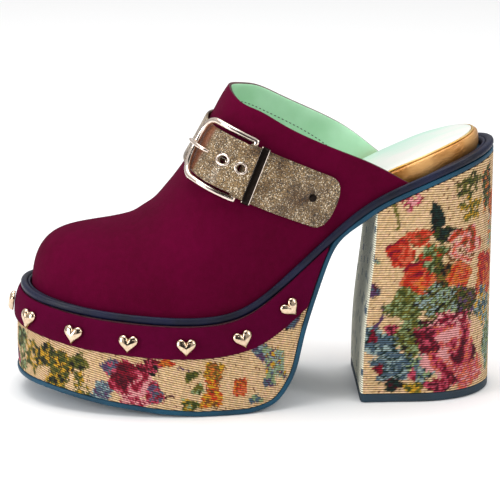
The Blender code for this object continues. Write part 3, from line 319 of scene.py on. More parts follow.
def build(name, points, faces, finishes, stands_for=(), slot=None, looks=None, attributes=(), sharp=None):
    """One finished piece: outward faces, smooth shading, its finishes and its point attributes."""
    mesh = bpy.data.meshes.new(name)
    mesh.from_pydata((np.asarray(points).reshape(-1, 3) + SHIFT).tolist(), [], faces)
    for label, values in attributes:
        kind = "FLOAT_COLOR" if values.shape[-1] == 4 else "FLOAT_VECTOR"
        field = "color" if kind == "FLOAT_COLOR" else "vector"
        made = mesh.attributes.new(label, kind, "POINT")
        made.data.foreach_set(field, values.reshape(-1).astype(np.float32))
    if looks is not None:
        mesh.polygons.foreach_set("material_index", np.asarray(looks, np.int32))
    shape = bmesh.new()
    shape.from_mesh(mesh)
    bmesh.ops.remove_doubles(shape, verts=shape.verts, dist=1e-7)
    bmesh.ops.recalc_face_normals(shape, faces=shape.faces)
    shape.to_mesh(mesh)
    shape.free()
    for finish in finishes if isinstance(finishes, (list, tuple)) else [finishes]:
        mesh.materials.append(finish)
    mesh.shade_smooth()
    if sharp:
        mesh.set_sharp_from_angle(angle=math.radians(sharp))
    piece = bpy.data.objects.new(name, mesh)
    bpy.context.scene.collection.objects.link(piece)
    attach(piece, "root")
    if stands_for:
        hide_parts(*stands_for)
    print(name, len(mesh.polygons), "faces")
    return piece


def stack(rings, back=True):
    """Points and faces of a solid from rings over each other, closed across its first and last."""
    points = np.array(rings)
    rows, count = points.shape[:2]
    walls = grid_faces(rows, count, wrap_columns=True)
    return points, cap(count, 0, back) + walls + cap(count, (rows - 1) * count, back)


def hoop(points):
    """Points and faces of a closed hoop: its rings are joined round, and the last to the first."""
    return points, grid_faces(*points.shape[:2], wrap_rows=True, wrap_columns=True)


def normals_of(points):
    """Unit normals of a grid of points, from its two directions."""
    normal = np.cross(np.gradient(points, axis=0), np.gradient(points, axis=1))
    return normal / np.maximum(np.linalg.norm(normal, axis=-1), 1e-12)[..., None]


# %% [markdown]
# ## Nodes in few words
# Every finish is a node tree. These small helpers make a node, set its values and link its
# inputs, so that each recipe below reads from the pattern to the shader.

# %% Node helpers
def add(tree, kind, values=(), **settings):
    """A node of a kind, with settings on the node and values or links on its sockets."""
    made = tree.nodes.new("ShaderNode" + kind)
    for key, value in settings.items():
        setattr(made, key, value)
    for key, value in dict(values).items():
        if isinstance(value, bpy.types.NodeSocket):
            tree.links.new(value, made.inputs[key])
        else:
            made.inputs[key].default_value = value
    return made


def maths(tree, operation, *values):
    """Output of a Math node."""
    return add(tree, "Math", list(enumerate(values)), operation=operation).outputs[0]


def times(tree, first, second):
    """Product of two values."""
    return maths(tree, "MULTIPLY", first, second)


def noise(tree, where, scale, detail=2.0, rough=0.5):
    """Value of a Noise texture."""
    values = {"Vector": where, "Scale": scale, "Detail": detail, "Roughness": rough}
    return add(tree, "TexNoise", values).outputs["Fac"]


def painted(tree, name):
    """The three parts of a vector that the mesh carries."""
    vector = add(tree, "Attribute", attribute_name=name).outputs["Vector"]
    return add(tree, "SeparateXYZ", {0: vector}).outputs


def blend(tree, factor, first, second, mode="MIX"):
    """Output of a colour mix."""
    made = add(tree, "Mix", data_type="RGBA", blend_type=mode)
    for place, value in ((0, factor), (6, first), (7, second)):
        if isinstance(value, bpy.types.NodeSocket):
            tree.links.new(value, made.inputs[place])
        else:
            made.inputs[place].default_value = value
    return made.outputs[2]


def ramp(tree, factor, low, high):
    """0 below low, 1 above high, straight between."""
    values = {"Value": factor, "From Min": low, "From Max": high}
    return add(tree, "MapRange", values, clamp=True).outputs[0]


def colour(text):
    """Linear colour of a six-figure code."""
    parts = [int(text[k:k + 2], 16) / 255 for k in (0, 2, 4)]
    return tuple(p / 12.92 if p <= 0.04045 else ((p + 0.055) / 1.055) ** 2.4 for p in parts) + (1.0,)


def finish(name, **sockets):
    """A new material and its Principled shader, with the constants on the shader's own sockets."""
    made = bpy.data.materials.new(name)
    made.use_nodes = True
    shader = made.node_tree.nodes["Principled BSDF"]
    for key, value in sockets.items():
        shader.inputs[key.replace("_", " ")].default_value = value
    return made, made.node_tree, shader


def place_of(tree, scale=(1, 1, 1), turn=(0, 0, 0)):
    """The object's own coordinates through a Mapping node."""
    here = add(tree, "TexCoord").outputs["Object"]
    return add(tree, "Mapping", {"Vector": here, "Scale": scale, "Rotation": turn}).outputs[0]


def raise_grain(tree, shader, height, distance, strength=1.0, under=None):
    """A Bump node from a height, on top of another normal where there is one."""
    values = {"Height": height, "Distance": distance, "Strength": strength}
    if under is not None:
        values["Normal"] = under
    bump = add(tree, "Bump", values).outputs[0]
    tree.links.new(bump, shader.inputs["Normal"])
    return bump


# %% [markdown]
# ## Suede
# Suede is leather with its fibres raised. Brushed one way it is lighter, the other way darker, so
# large soft clouds of tone lie over a very fine nap, and its silhouettes glow. The clouds and the
# nap are one node group that the upper and the platform's wrap share; the glow is the shader's sheen.

# %% Nap group and suede
def nap_group():
    """Clouds of tone and a fine nap from two noises of very different scale."""
    tree = bpy.data.node_groups.new("nap", "ShaderNodeTree")
    tree.interface.new_socket("Vector", in_out="INPUT", socket_type="NodeSocketVector")
    tree.interface.new_socket("Tone", in_out="OUTPUT", socket_type="NodeSocketFloat")
    tree.interface.new_socket("Nap", in_out="OUTPUT", socket_type="NodeSocketFloat")
    here = tree.nodes.new("NodeGroupInput").outputs[0]
    cloud = noise(tree, here, 22.0, 3.0, 0.55)
    brushed = noise(tree, here, 260.0, 4.0, 0.7)
    fibre = noise(tree, here, 2600.0, 3.0, 0.7)
    tone = maths(tree, "ADD", times(tree, cloud, 0.62), times(tree, brushed, 0.38))
    out = tree.nodes.new("NodeGroupOutput")
    tree.links.new(ramp(tree, tone, 0.32, 0.68), out.inputs["Tone"])
    tree.links.new(fibre, out.inputs["Nap"])
    return tree


NAP = nap_group()


def suede(name, deep, light, rub):
    """Plum suede: deep and light tones by the nap's clouds, with a fine bump."""
    made, tree, shader = finish(
        name, Roughness=0.92, Specular_IOR_Level=0.05,
        Sheen_Weight=0.10, Sheen_Roughness=0.3, Sheen_Tint=colour(rub),
    )
    nap = add(tree, "Group", node_tree=NAP)
    tree.links.new(place_of(tree), nap.inputs[0])
    base = blend(tree, nap.outputs["Tone"], colour(deep), colour(light))
    fleck = ramp(tree, nap.outputs["Nap"], 0.3, 0.7)
    base = blend(tree, times(tree, fleck, 0.16), base, colour(rub))
    tree.links.new(base, shader.inputs["Base Color"])
    raise_grain(tree, shader, nap.outputs["Nap"], 0.00022, 0.5)
    return made


plum_suede = suede("plum suede", "420017", "570026", "6A0E3E")
wrap_suede = suede("wrap suede", "3C0018", "4E0026", "6A0E3E")
print("suede ready")

# %% [markdown]
# ## Leather, rubber and metal
# The other plain finishes are a base colour with a little unevenness, a fine grain in the bump and
# a roughness that varies. Metallic leather is a metal base with a soft streak; polished plating is
# a metal whose roughness is broken by faint handling marks.

# %% Grain group
def grain_group():
    """Leather pores, from the distance to the nearest cell edge, and slow unevenness from a noise."""
    tree = bpy.data.node_groups.new("grain", "ShaderNodeTree")
    tree.interface.new_socket("Vector", in_out="INPUT", socket_type="NodeSocketVector")
    tree.interface.new_socket("Scale", in_out="INPUT", socket_type="NodeSocketFloat")
    tree.interface.new_socket("Pores", in_out="OUTPUT", socket_type="NodeSocketFloat")
    tree.interface.new_socket("Uneven", in_out="OUTPUT", socket_type="NodeSocketFloat")
    inputs = tree.nodes.new("NodeGroupInput")
    where = {"Vector": inputs.outputs[0], "Scale": inputs.outputs[1]}
    cells = add(tree, "TexVoronoi", where, feature="DISTANCE_TO_EDGE")
    slow = noise(tree, inputs.outputs[0], 60.0, 4.0)
    out = tree.nodes.new("NodeGroupOutput")
    tree.links.new(ramp(tree, cells.outputs["Distance"], 0.0, 0.12), out.inputs["Pores"])
    tree.links.new(slow, out.inputs["Uneven"])
    return tree


GRAIN = grain_group()


def leather(name, dark, light, rough=(0.35, 0.5), scale=1600.0, depth=0.00006, **sockets):
    """A smooth leather or rubber: colour and roughness vary slowly, pores stand in the bump."""
    made, tree, shader = finish(name, **sockets)
    grain = add(tree, "Group", {1: scale}, node_tree=GRAIN)
    tree.links.new(place_of(tree), grain.inputs[0])
    uneven = ramp(tree, grain.outputs["Uneven"], 0.35, 0.65)
    tree.links.new(blend(tree, uneven, colour(dark), colour(light)), shader.inputs["Base Color"])
    values = {"Value": uneven, "To Min": rough[0], "To Max": rough[1]}
    rough_now = add(tree, "MapRange", values).outputs[0]
    tree.links.new(rough_now, shader.inputs["Roughness"])
    raise_grain(tree, shader, grain.outputs["Pores"], depth, 0.6)
    return made


navy_leather = leather("navy leather", "04071A", "091030", (0.3, 0.42), Specular_IOR_Level=0.28)
teal_sheet = leather("teal sheet", "0A3448", "10465E", (0.38, 0.55), Specular_IOR_Level=0.28, scale=900.0)
tip_rubber = leather("heel tip rubber", "0A1E2A", "103040", (0.5, 0.7), scale=1100.0, depth=0.0001)
lining_mint = leather(
    "mint lining", "AEE2B8", "C0EECA", (0.55, 0.7), scale=1500.0, Specular_IOR_Level=0.3
)
cut_edge = leather("cut edge", "3A1A1E", "5A3A38", (0.7, 0.85), scale=2200.0)
bronze_leather = leather(
    "bronze leather", "A56A2C", "D9A566", (0.28, 0.45),
    scale=700.0, depth=0.00012, Metallic=0.75, Coat_Weight=0.2,
)
gold_piping = leather("gold piping", "D8A850", "F0CE86", (0.25, 0.35), Metallic=0.9)


def pearl_mint():
    """Pale mint leather with a pearly bloom: slow stretched clouds run between white and mint."""
    made, tree, shader = finish(
        "pearl mint", Roughness=0.34, Coat_Weight=0.35, Coat_Roughness=0.25, Sheen_Weight=0.2
    )
    cloud = noise(tree, place_of(tree, (14, 40, 14), (0, 0, 0.3)), 1.0, 4.0)
    shade = blend(tree, ramp(tree, cloud, 0.38, 0.62), colour("E2E0DA"), colour("B8E0CC"))
    tree.links.new(shade, shader.inputs["Base Color"])
    grain = add(tree, "Group", {1: 900.0}, node_tree=GRAIN)
    tree.links.new(place_of(tree), grain.inputs[0])
    raise_grain(tree, shader, grain.outputs["Pores"], 0.00008, 0.5)
    return made


sock_mint = pearl_mint()


def plating(name, base, shade, rough):
    """Polished pale gold: faint tarnish in the colour and handling marks in the roughness."""
    made, tree, shader = finish(name, Metallic=1.0)
    marks = noise(tree, place_of(tree), 420.0, 6.0, 0.75)
    tone = blend(tree, ramp(tree, marks, 0.35, 0.75), colour(base), colour(shade))
    tree.links.new(tone, shader.inputs["Base Color"])
    wear_and_painted_shade = add(tree, "MapRange", {
        "Value": marks, "From Min": 0.3, "From Max": 0.7, "To Min": rough * 0.7, "To Max": rough * 1.6,
    })
    tree.links.new(wear_and_painted_shade.outputs[0], shader.inputs["Roughness"])
    return made


pale_gold = plating("pale gold", "EED9BC", "B8977A", 0.10)
bright_plating = plating("bright plating", "F4E6DA", "CDB6A4", 0.10)
# Painted reflection and shade: a near-black plating. It stands for the dark reflection on the keeper's face
# and for the dark hollow of the tab's rivet.
dark_metal = plating("painted reflection and shade", "2B2420", "120E0C", 0.25)


def glitter():
    """Gold glitter: a mosaic of flakes about 0.35 mm wide, each with its own tone, gloss and tilt."""
    made, tree, shader = finish("gold glitter", Coat_Weight=0.3, Coat_Roughness=0.15)
    here = place_of(tree)
    flakes = add(tree, "TexVoronoi", {"Vector": here, "Scale": 2600.0, "Randomness": 1.0})
    fine = add(tree, "TexVoronoi", {"Vector": here, "Scale": 5200.0, "Randomness": 1.0})
    parts = add(tree, "SeparateColor", {"Color": flakes.outputs["Color"]})
    tone = blend(tree, ramp(tree, parts.outputs[0], 0.1, 0.95), colour("2C2014"), colour("B2946A"))
    glint = ramp(tree, parts.outputs[1], 0.86, 0.96)
    tone = blend(tree, glint, tone, colour("FFF4DC"))
    patch = noise(tree, here, 90.0, 3.0)
    tone = blend(tree, ramp(tree, patch, 0.42, 0.72), tone, colour("8A745A"), "MULTIPLY")
    # Painted shade: where the mask is set, under the buckle frame, a copper brown takes the place of the
    # glitter's tone.
    wear_and_painted_shade = painted(tree, "wear_and_painted_shade")[0]
    tone = blend(tree, wear_and_painted_shade, tone, blend(tree, patch, colour("5A2C14"), colour("A0603A")))
    tree.links.new(tone, shader.inputs["Base Color"])
    tree.links.new(ramp(tree, parts.outputs[2], -0.4, 1.2), shader.inputs["Roughness"])
    tree.links.new(times(tree, ramp(tree, parts.outputs[0], 0.2, 0.6), 0.8), shader.inputs["Metallic"])
    height = maths(tree, "ADD", parts.outputs[1], times(tree, fine.outputs["Distance"], 0.8))
    raise_grain(tree, shader, height, 0.00016, 0.8)
    return made


gold_glitter = glitter()
print("leathers and metals ready")

# %% [markdown]
# ## Tapestry
# The platform and the heel are covered in a ribbed cloth with woven flowers. Weaving draws with
# whole threads, so the edge of a motif is stepped and its tones are mixed thread by thread. The
# colours are worked out by formula at each point of a fine mesh, with the place first rounded to a
# thread. A motif is a lobed oval, a rose of turned petals or a thin stem. In an oval, where its own
# soft waves cross a level, the next tone of its palette takes over. The cloth's ribs come from the
# material, in the cloth's own coordinates.

# %% Motifs
THREAD = 0.60 * MM
RIB = 1.16 * MM
CLOTH = {
    name: np.array(colour(code)[:3])
    for name, code in {
        "cream": "EAC898", "straw": "DDB884", "peach": "F0C6A0", "crimson": "8A0E28", "wine": "4E0A1C",
        "rose": "C84A62", "pink": "EAA0A0", "coral": "DC6A4A", "poppy": "C8331A", "orange": "DC7A2C",
        "olive": "6E6A26", "moss": "3F4A1C", "pine": "18302A", "sage": "93A878", "slate": "4E6474",
        "mist": "9AB0AE", "violet": "5E3E62", "gold": "D8A428", "ivory": "EFE6CE", "brown": "7A4A22",
        "black": "1C1A16",
    }.items()
}


def motif_table(text):
    """One row for each line of the text: the painter, six numbers and the palette."""
    rows = [line.split() for line in text.strip().splitlines()]
    return [(row[0], *map(float, row[1:7]), " ".join(row[7:])) for row in rows]


def hashed(i, j, k=0.0):
    """A number from 0 to 1 for each thread crossing, the same in every run."""
    value = np.sin(i * 12.9898 + j * 78.233 + k * 37.719) * 43758.5453
    return value - np.floor(value)


def waves(u, v, seed):
    """Soft waves from 0 to 1: five sines in turned directions, 3 to 9 mm long."""
    total = 0.0
    for k in range(5):
        turn = seed * 1.7 + k * 2.4
        along_wave = (u * math.cos(turn) + v * math.sin(turn)) / MM
        total = total + np.sin(along_wave * (0.7 + 0.33 * k) + seed * (k + 1))
    return np.clip(0.5 + total / 5.2, 0, 1)


def paint_patch(u, v, row, base, spot):
    """A lobed oval filled with the tones of a palette, its edge broken up thread by thread."""
    _, cu, cv, wide, high, turn, lobes, palette = row
    turn = math.radians(turn)
    du, dv = u - cu * MM, v - cv * MM
    s = (du * math.cos(turn) + dv * math.sin(turn)) / (wide * MM)
    t = (-du * math.sin(turn) + dv * math.cos(turn)) / (high * MM)
    angle, far = np.arctan2(t, s), np.hypot(s, t)
    edge = 0.86 + 0.14 * np.cos(lobes * angle + cu) + 0.10 * (waves(u, v, cu + 3) - 0.5)
    tones = palette.split()
    level = np.clip(waves(u, v, cu + cv) + 0.42 * (spot - 0.5), 0, 0.999) * len(tones)
    colours = np.array([CLOTH[tone] for tone in tones])[level.astype(int)]
    return np.where((far < edge + 0.22 * (spot - 0.6))[..., None], colours, base)


def paint_rose(u, v, row, base, spot):
    """Rings of petals: arcs of light and dark turn inwards about the heart of the flower."""
    _, cu, cv, wide, high, turn, lobes, palette = row
    du, dv = (u - cu * MM) / (wide * MM), (v - cv * MM) / (high * MM)
    angle, far = np.arctan2(dv, du), np.hypot(du, dv)
    edge = 0.88 + 0.12 * np.cos(lobes * angle + turn)
    swirl = 0.5 + 0.5 * np.sin(far * 11.0 - 2 * angle + 1.3 * np.sin(3 * angle + turn))
    tones = palette.split()
    light = 0.55 * swirl + 0.45 * (0.5 + 0.5 * np.cos(angle + math.radians(turn))) + 0.30 * (spot - 0.5)
    level = np.clip(light, 0, 0.999) * len(tones)
    colours = np.array([CLOTH[tone] for tone in tones])[level.astype(int)]
    return np.where((far < edge + 0.14 * (spot - 0.6))[..., None], colours, base)


def paint_stem(u, v, row, base, spot):
    """A thin arc: the distance from a circle less than half the stem's width."""
    _, cu, cv, wide, high, turn, lobes, palette = row
    du, dv = u - cu * MM, v - cv * MM
    angle = np.degrees(np.arctan2(dv, du))
    near = np.abs(np.hypot(du, dv) - wide * MM) < high * MM
    part = np.abs((angle - turn + 180) % 360 - 180) < lobes
    return np.where((near & part & (spot > 0.15))[..., None], CLOTH[palette], base)


PAINTERS = {"rose": paint_rose, "patch": paint_patch, "stem": paint_stem}


def weave_colours(u, v, motifs, slant):
    """Colour of the cloth at each point: place rounded to its thread, ground, then each motif."""
    rib = np.floor((v + slant) / RIB)
    thread = np.floor(u / THREAD + 0.5 * (rib % 2))
    cu = (thread - 0.5 * (rib % 2) + 0.5) * THREAD + (hashed(rib, thread) - 0.5) * 1.2 * THREAD
    cv = v + (hashed(thread, rib, 3.0) - 0.5) * 0.8 * RIB
    fleck = hashed(rib, thread, 7.0)
    tone = np.where((fleck < 0.30)[..., None], CLOTH["straw"], CLOTH["cream"])
    tone = np.where((fleck > 0.80)[..., None], CLOTH["peach"], tone)
    tone = np.where((fleck > 0.985)[..., None], CLOTH["brown"], tone)
    for number, row in enumerate(motifs):
        tone = PAINTERS[row[0]](cu, cv, row, tone, hashed(rib, thread, 20.0 + number))
    shade = 0.72 + 0.34 * hashed(rib, thread, 11.0)
    paint = np.ones(u.shape + (4,))
    paint[..., :3] = np.clip(tone * shade[..., None], 0, 1)
    return paint


def tapestry(name):
    """Ribbed cloth: the woven colour, painted shade in the valleys between the ribs, with ribs and threads in
    the bump.
    """
    made, tree, shader = finish(name, Roughness=0.9, Specular_IOR_Level=0.12, Sheen_Weight=0.08)
    paint = add(tree, "Attribute", attribute_name="paint").outputs["Color"]
    cloth = painted(tree, "cloth")
    rib = maths(tree, "SINE", times(tree, cloth[1], 2 * math.pi / RIB))
    twist = maths(tree, "SINE", times(tree, cloth[0], 2 * math.pi / THREAD))
    wool = noise(tree, place_of(tree), 2400.0)
    height = maths(tree, "ADD", rib, times(tree, twist, 0.3))
    height = maths(tree, "ADD", height, times(tree, wool, 0.9))
    # Painted shade: the paint is darkened in the valleys between the ribs.
    rib_valley_shade = ramp(tree, rib, -0.95, -0.1)
    dark = blend(tree, 1.0, paint, colour("644C38"), "MULTIPLY")
    tree.links.new(blend(tree, rib_valley_shade, dark, paint), shader.inputs["Base Color"])
    raise_grain(tree, shader, height, 0.00022, 0.7)
    return made


tapestry_cloth = tapestry("tapestry")
print("tapestry ready")

# %% [markdown]
# ## Sole pieces
# The outsole is a teal sheet that runs flat, climbs the back of the platform and goes on under the
# waist. The platform is its flared block, in tapestry. The wrap and the navy welt lie above.

# %% Outsole
def dense(step):
    """Stations a step apart, and closer up the back of the platform where the sheet climbs."""
    climb = FRONT + np.linspace(0.50, 0.67, 150) * FEATHER_LENGTH
    return np.unique(np.concatenate([stations(step), climb]))


def edge_flare(x):
    """Offset of the outsole's edge."""
    depth = (seat(x) - underside(x) - OUTSOLE_THICKNESS) * seat_cosine(x)
    return flare(x, np.maximum(depth, 0)) + OUTSOLE_EDGE


def sheet_top(x):
    """Upper face of the outsole."""
    return np.minimum(np.interp(x, *SHEET_TOP), over_seat(x, -GAP))


EDGE = ((-0.5, 0.0), (-0.12, 0.08), (0.0, 0.3), (0.0, 0.7), (-0.12, 0.92), (-0.5, 1.0))
rows = ring_rows(
    EDGE,
    lambda x, inset: edge_flare(x) + inset * MM,
    lambda x, up: underside(x) + up * (sheet_top(x) - underside(x)),
    dense(1.2 * MM),
)
build("outsole_sheet", *stack(rows), teal_sheet, ["outsole"], "teal", sharp=60)


# %% Platform
def slant_of(u):
    """Sum of the ribs' slope along the cloth: about 13 degrees at the sides, 35 round the toe."""
    table = np.linspace(-260, 260, 521) * MM
    angle = np.radians(13 + 22 * (1 - ease((np.abs(table) - 10 * MM) / (35 * MM))))
    total = np.cumsum(np.tan(angle)) * MM
    return np.interp(u, table, total)


def ring_places(points):
    """Distance round a ring from its first corner: positive along the outer side, negative inside."""
    flat = points[:, :2]
    half = (len(flat) + 1) // 2
    out = np.concatenate([[0], np.cumsum(np.linalg.norm(np.diff(flat[:half], axis=0), axis=1))])
    back = np.vstack([flat[:1], flat[::-1][: len(flat) - half]])
    inn = np.cumsum(np.linalg.norm(np.diff(back, axis=0), axis=1))
    return np.concatenate([out, -inn[::-1]])


# Painter, along, up, half width, half height, turn, lobes, then the tones of the palette
PLATFORM_MOTIFS = motif_table("""
patch 6 19 5 10 85 3 violet wine slate rose
patch 16 30 9 7 0 4 olive black moss sage
patch 18 18 6 12 -12 5 sage olive moss cream
patch 28 24 7 10 20 5 moss olive gold cream
patch 23 6 9 4 -20 3 olive moss orange gold
patch 38 26 10 7 20 5 black moss black olive gold
patch 47 22 9 9 40 5 moss olive black gold
patch 44 11 9 8 60 4 olive gold moss black
patch 57 25 6 6 0 4 black moss olive
patch 58 13 5 10 10 3 gold olive moss cream
patch 70 12 8 6 40 4 slate mist violet slate
patch 75 24 5 7 60 3 violet slate rose
rose 85 18 13 12 40 5 wine crimson crimson rose pink
patch 80 20 6 6 -30 4 wine crimson wine
patch 94 26 7 5 10 4 wine crimson rose black
patch 86 7 9 4 -10 4 pink rose crimson pink
patch 96 12 5 7 10 3 violet slate rose crimson
patch 102 28 4 3 0 3 poppy orange brown
stem 103 9 2 0.6 90 70 wine
stem 108 18 7 0.4 60 40 violet
patch 125 23 6 6 20 4 brown orange olive brown gold
patch 114 21 5 2.5 30 3 moss olive
patch 124 15 4 6 15 4 orange brown poppy gold
patch 117 14 4 3 40 3 moss sage olive
patch 124 8 7 5 10 4 poppy orange gold brown
patch 113 6 6 4 0 3 moss olive gold sage
rose 138 14 4.5 6 60 4 brown poppy orange coral
patch 149 31 4 8 25 3 violet slate mist
patch 156 25 6 11 25 4 sage mist sage violet gold
patch 153 16 4 5 0 3 violet slate sage
patch 164 47 6 7 30 3 slate violet black
patch 146 7 4 3 0 3 slate sage
patch -12 16 8 11 100 4 olive moss sage gold
patch -28 20 9 8 20 4 slate mist violet
rose -54 15 13 12 80 5 wine crimson rose pink
patch -72 18 9 7 40 4 moss sage olive
rose -96 14 9 9 20 5 brown poppy orange gold
patch -114 16 7 9 120 4 violet slate mist
patch -132 24 8 9 130 4 moss sage pine
""")
at = stations(0.6 * MM, 0.67)
at = at[platform_room(at) > 1.5 * MM]
shares = np.linspace(0, 1, 72)
rows = ring_rows(
    zip(shares, shares),
    lambda x, share: flare(x, share * platform_room(x) * seat_cosine(x)),
    lambda x, share: seat(x) - GAP / seat_cosine(x) - share * platform_room(x),
    at,
    back=False,
)
points, faces = stack(rows, back=False)
u = np.tile(ring_places(points[len(rows) // 2]), (len(rows), 1))
v = points[..., 2]
paint = weave_colours(u, v, PLATFORM_MOTIFS, slant_of(u))
# The cloth stops under the wrap, where the block is dyed like the suede.
under_wrap = shares[:, None] * platform_room(points[..., 0]) < 10 * MM
paint[..., :3] = np.where(under_wrap[..., None], colour("4A001E")[:3], paint[..., :3])
cloth = np.stack([u, v + slant_of(u), u * 0], -1)
build("platform_tapestry", points, faces, tapestry_cloth, ["platform"], "tapestry",
      attributes=(("paint", paint), ("cloth", cloth)), sharp=60)


# %% Suede wrap
BAND_DEPTH, BAND_THICKNESS, BAND_GAP = 15.2 * MM, 1.2 * MM, 0.45 * MM


def band_depth(x):
    """Height of the band below the seat, cut short where the outsole comes up behind it."""
    return np.minimum(BAND_DEPTH / seat_cosine(x), platform_room(x) - GAP)


def band_surface(x, share, proud):
    """Offset and height of a point of the band's face."""
    drop = GAP / seat_cosine(x) + share * band_depth(x)
    return flare(x, drop * seat_cosine(x)) + BAND_GAP + proud, seat(x) - drop


def band_row(share, proud, at):
    """One line along the band, from the outer rear round the toe to the inner rear."""
    corners = ring(
        lambda x: band_surface(x, share, proud)[0], lambda x: band_surface(x, share, proud)[1], at, back=False
    )
    turn = len(at) + 1
    return np.concatenate([corners[1:turn][::-1], corners[:1], corners[turn:][::-1]])


at = stations(0.8 * MM, 0.67)
at = at[platform_room(at) > 3.0 * MM]
rows = []
for s in np.sin(np.linspace(-1, 1, 26) * math.pi / 2) / 2 + 0.5:
    roll = 0.35 + 0.65 * (1 - abs(2 * s - 1) ** 9) ** 0.5
    rows.append(band_row(s, BAND_THICKNESS * roll + 0.25 * MM * math.sin(math.pi * s) ** 2, at))
rows += [band_row(1.0, 0.0, at), band_row(0.0, 0.0, at)]
points = np.array(rows)
count, columns = points.shape[:2]
faces = grid_faces(count, columns, wrap_rows=True)
faces += [[i * columns for i in range(count)], [i * columns + columns - 1 for i in range(count)][::-1]]
build("suede_wrap", points, faces, wrap_suede, ["platform_band"], "suede", sharp=75)

# %% Welt
WELT_HEIGHT = 3.7 * MM
WELT_SECTION = (
    # across, up
    (0.00, 0.00), (0.30, 0.00), (0.60, 0.00), (0.88, 0.00), (0.97, 0.12), (1.00, 0.32), (0.99, 0.55),
    (0.93, 0.76), (0.83, 0.90), (0.70, 0.97), (0.56, 0.99), (0.44, 0.95), (0.37, 0.84), (0.32, 0.70),
    (0.27, 0.82), (0.20, 0.90), (0.12, 0.88), (0.05, 0.80), (0.00, 0.66), (0.00, 0.33),
)
COLLAR_FOOT = COLLAR_ROWS[-1, 0]


def heel_part(x):
    """0 along the upper, 1 behind the collar's foot."""
    return ease((along(x) - COLLAR_FOOT - 0.02) / 0.07)


def welt_inner(x):
    """Offset of the welt's inner edge."""
    return (0.4 - 2.8 * heel_part(x)) * MM


def welt_outer(x):
    """Offset of the welt's outer edge: widest round the toe."""
    return (5.6 - 2.0 * ease(along(x) / 0.2)) * MM


points = np.array(ring_rows(
    WELT_SECTION,
    lambda x, across: welt_inner(x) + across * (welt_outer(x) - welt_inner(x)),
    lambda x, up: over_seat(x, up * WELT_HEIGHT),
    stations(1.0 * MM),
))
build("navy_rand", *hoop(points), navy_leather, ["welt"], "navy", sharp=75)


# %% Footbed and sock
FOOTBED_INSET, FOOTBED_INSET_HEEL = 3.1 * MM, 4.1 * MM
FOOTBED_THICKNESS, FOOTBED_MORE_HEEL = 6.0 * MM, 4.2 * MM
ROLL_DEPTH = 2.6 * MM
CORD_INSET, CORD_RADIUS = 2.9 * MM, 0.5 * MM
SOCK_INSET = 3.6 * MM


def footbed_edge(x):
    """Offset of the footbed's side, inside the upper's wall and then inside the welt."""
    return -(FOOTBED_INSET + (FOOTBED_INSET_HEEL - FOOTBED_INSET) * heel_part(x))


def footbed_thickness(x):
    """Thin under the toes, thick under the heel."""
    return FOOTBED_THICKNESS + FOOTBED_MORE_HEEL * ease((along(x) - 0.42) / 0.3)


ROLL_SECTION = through([(0.50, 0.03), (0.00, 0.28), (0.02, 0.66), (0.35, 0.93), (1.00, 1.00)], 15)
ROLL_SECTION[:, 1] = np.minimum(ROLL_SECTION[:, 1], 1.0)
around = stations(1.2 * MM)
rows = ring_rows(
    ROLL_SECTION,
    lambda x, inward: footbed_edge(x) - inward * ROLL_DEPTH,
    lambda x, up: over_seat(x, np.maximum(up * footbed_thickness(x), GAP)),
    around,
)
piece = build("bronze_roll", *stack(rows), bronze_leather, ["footbed"], "bronze", sharp=60)
turn = np.linspace(0, 2 * math.pi, 13)[:-1]
points = np.array(ring_rows(
    zip(turn, turn),
    lambda x, t: footbed_edge(x) - CORD_INSET - CORD_RADIUS * math.cos(t),
    lambda x, t: over_seat(x, footbed_thickness(x) + 0.45 * MM + CORD_RADIUS * math.sin(t)),
    around,
))
build("gold_cord", *hoop(points), gold_piping, (), "pale_gold")
SOCK_SECTION = ((0.0, 0.0), (0.0, 0.45), (0.12, 0.8), (0.4, 1.0), (2.0, 1.15), (5.0, 1.3), (8.0, 1.35))
rows = ring_rows(
    SOCK_SECTION,
    lambda x, inset: footbed_edge(x) - SOCK_INSET - inset * MM,
    lambda x, up: over_seat(x, footbed_thickness(x) + GAP + up * MM),
    around,
)
piece = build("pearl_sock", *stack(rows), sock_mint, ["sock"], "mint", sharp=60)

# %% [markdown]
# ## Heel
# The heel's outline from above is the feather line pushed out, cut straight in front. Its breast
# leans back as it rises. Cloth places are measured from the middle of the back, so that the
# motifs sit where the photograph shows them whatever the ring's length.

# %% Heel block
HEEL_CORNER = 2.5 * MM
HEEL_FLARE = 3.6 * MM
HEEL_LENGTH_LOW, HEEL_LENGTH_HIGH = 63.8 * MM, 57.5 * MM
HEEL_TIP_THICKNESS = 4.3 * MM
BREAST_CELLS = 30


def breast(up):
    """Place of the breast by the share of the heel's height."""
    way = spline(BREAST_ROWS[:, 0], BREAST_ROWS[:, 1], up)
    return -FRONT - HEEL_LENGTH_LOW + (HEEL_LENGTH_LOW - HEEL_LENGTH_HIGH) * way


def heel_ring(front, height, grow=0.0):
    """The heel's outline: half its breast, the outer side, the back, the inner side, half its breast."""
    turn = np.linspace(0, math.pi / 2, 90)[1:-1]
    at = front + HEEL_CORNER + (-FRONT - front - HEEL_CORNER) * np.sin(turn)
    at = np.concatenate([[front + HEEL_CORNER], at])
    sides = []
    for side in ("outer", "inner"):
        point, normal = on_feather(side, at)
        flat = point + normal * (HEEL_FLARE + grow)
        end = flat[0, 1]
        bend = np.linspace(0, math.pi / 2, 7)[:-1]
        corner = np.column_stack([
            flat[0, 0] - HEEL_CORNER * np.cos(bend) ** 0.9,
            end - np.sign(end) * HEEL_CORNER * (1 - np.sin(bend) ** 0.9),
        ])
        across = np.linspace(0, corner[0, 1], BREAST_CELLS)[1:-1]
        sides.append(np.concatenate([np.column_stack([across * 0 + front, across]), corner, flat]))
    rear, rear_normal = on_feather("outer", np.array([-FRONT]))
    rear = rear + rear_normal * (HEEL_FLARE + grow)
    flat = np.concatenate([[[front, 0.0]], sides[0], rear, sides[1][::-1]])
    return np.column_stack([flat, height(flat[:, 0])])


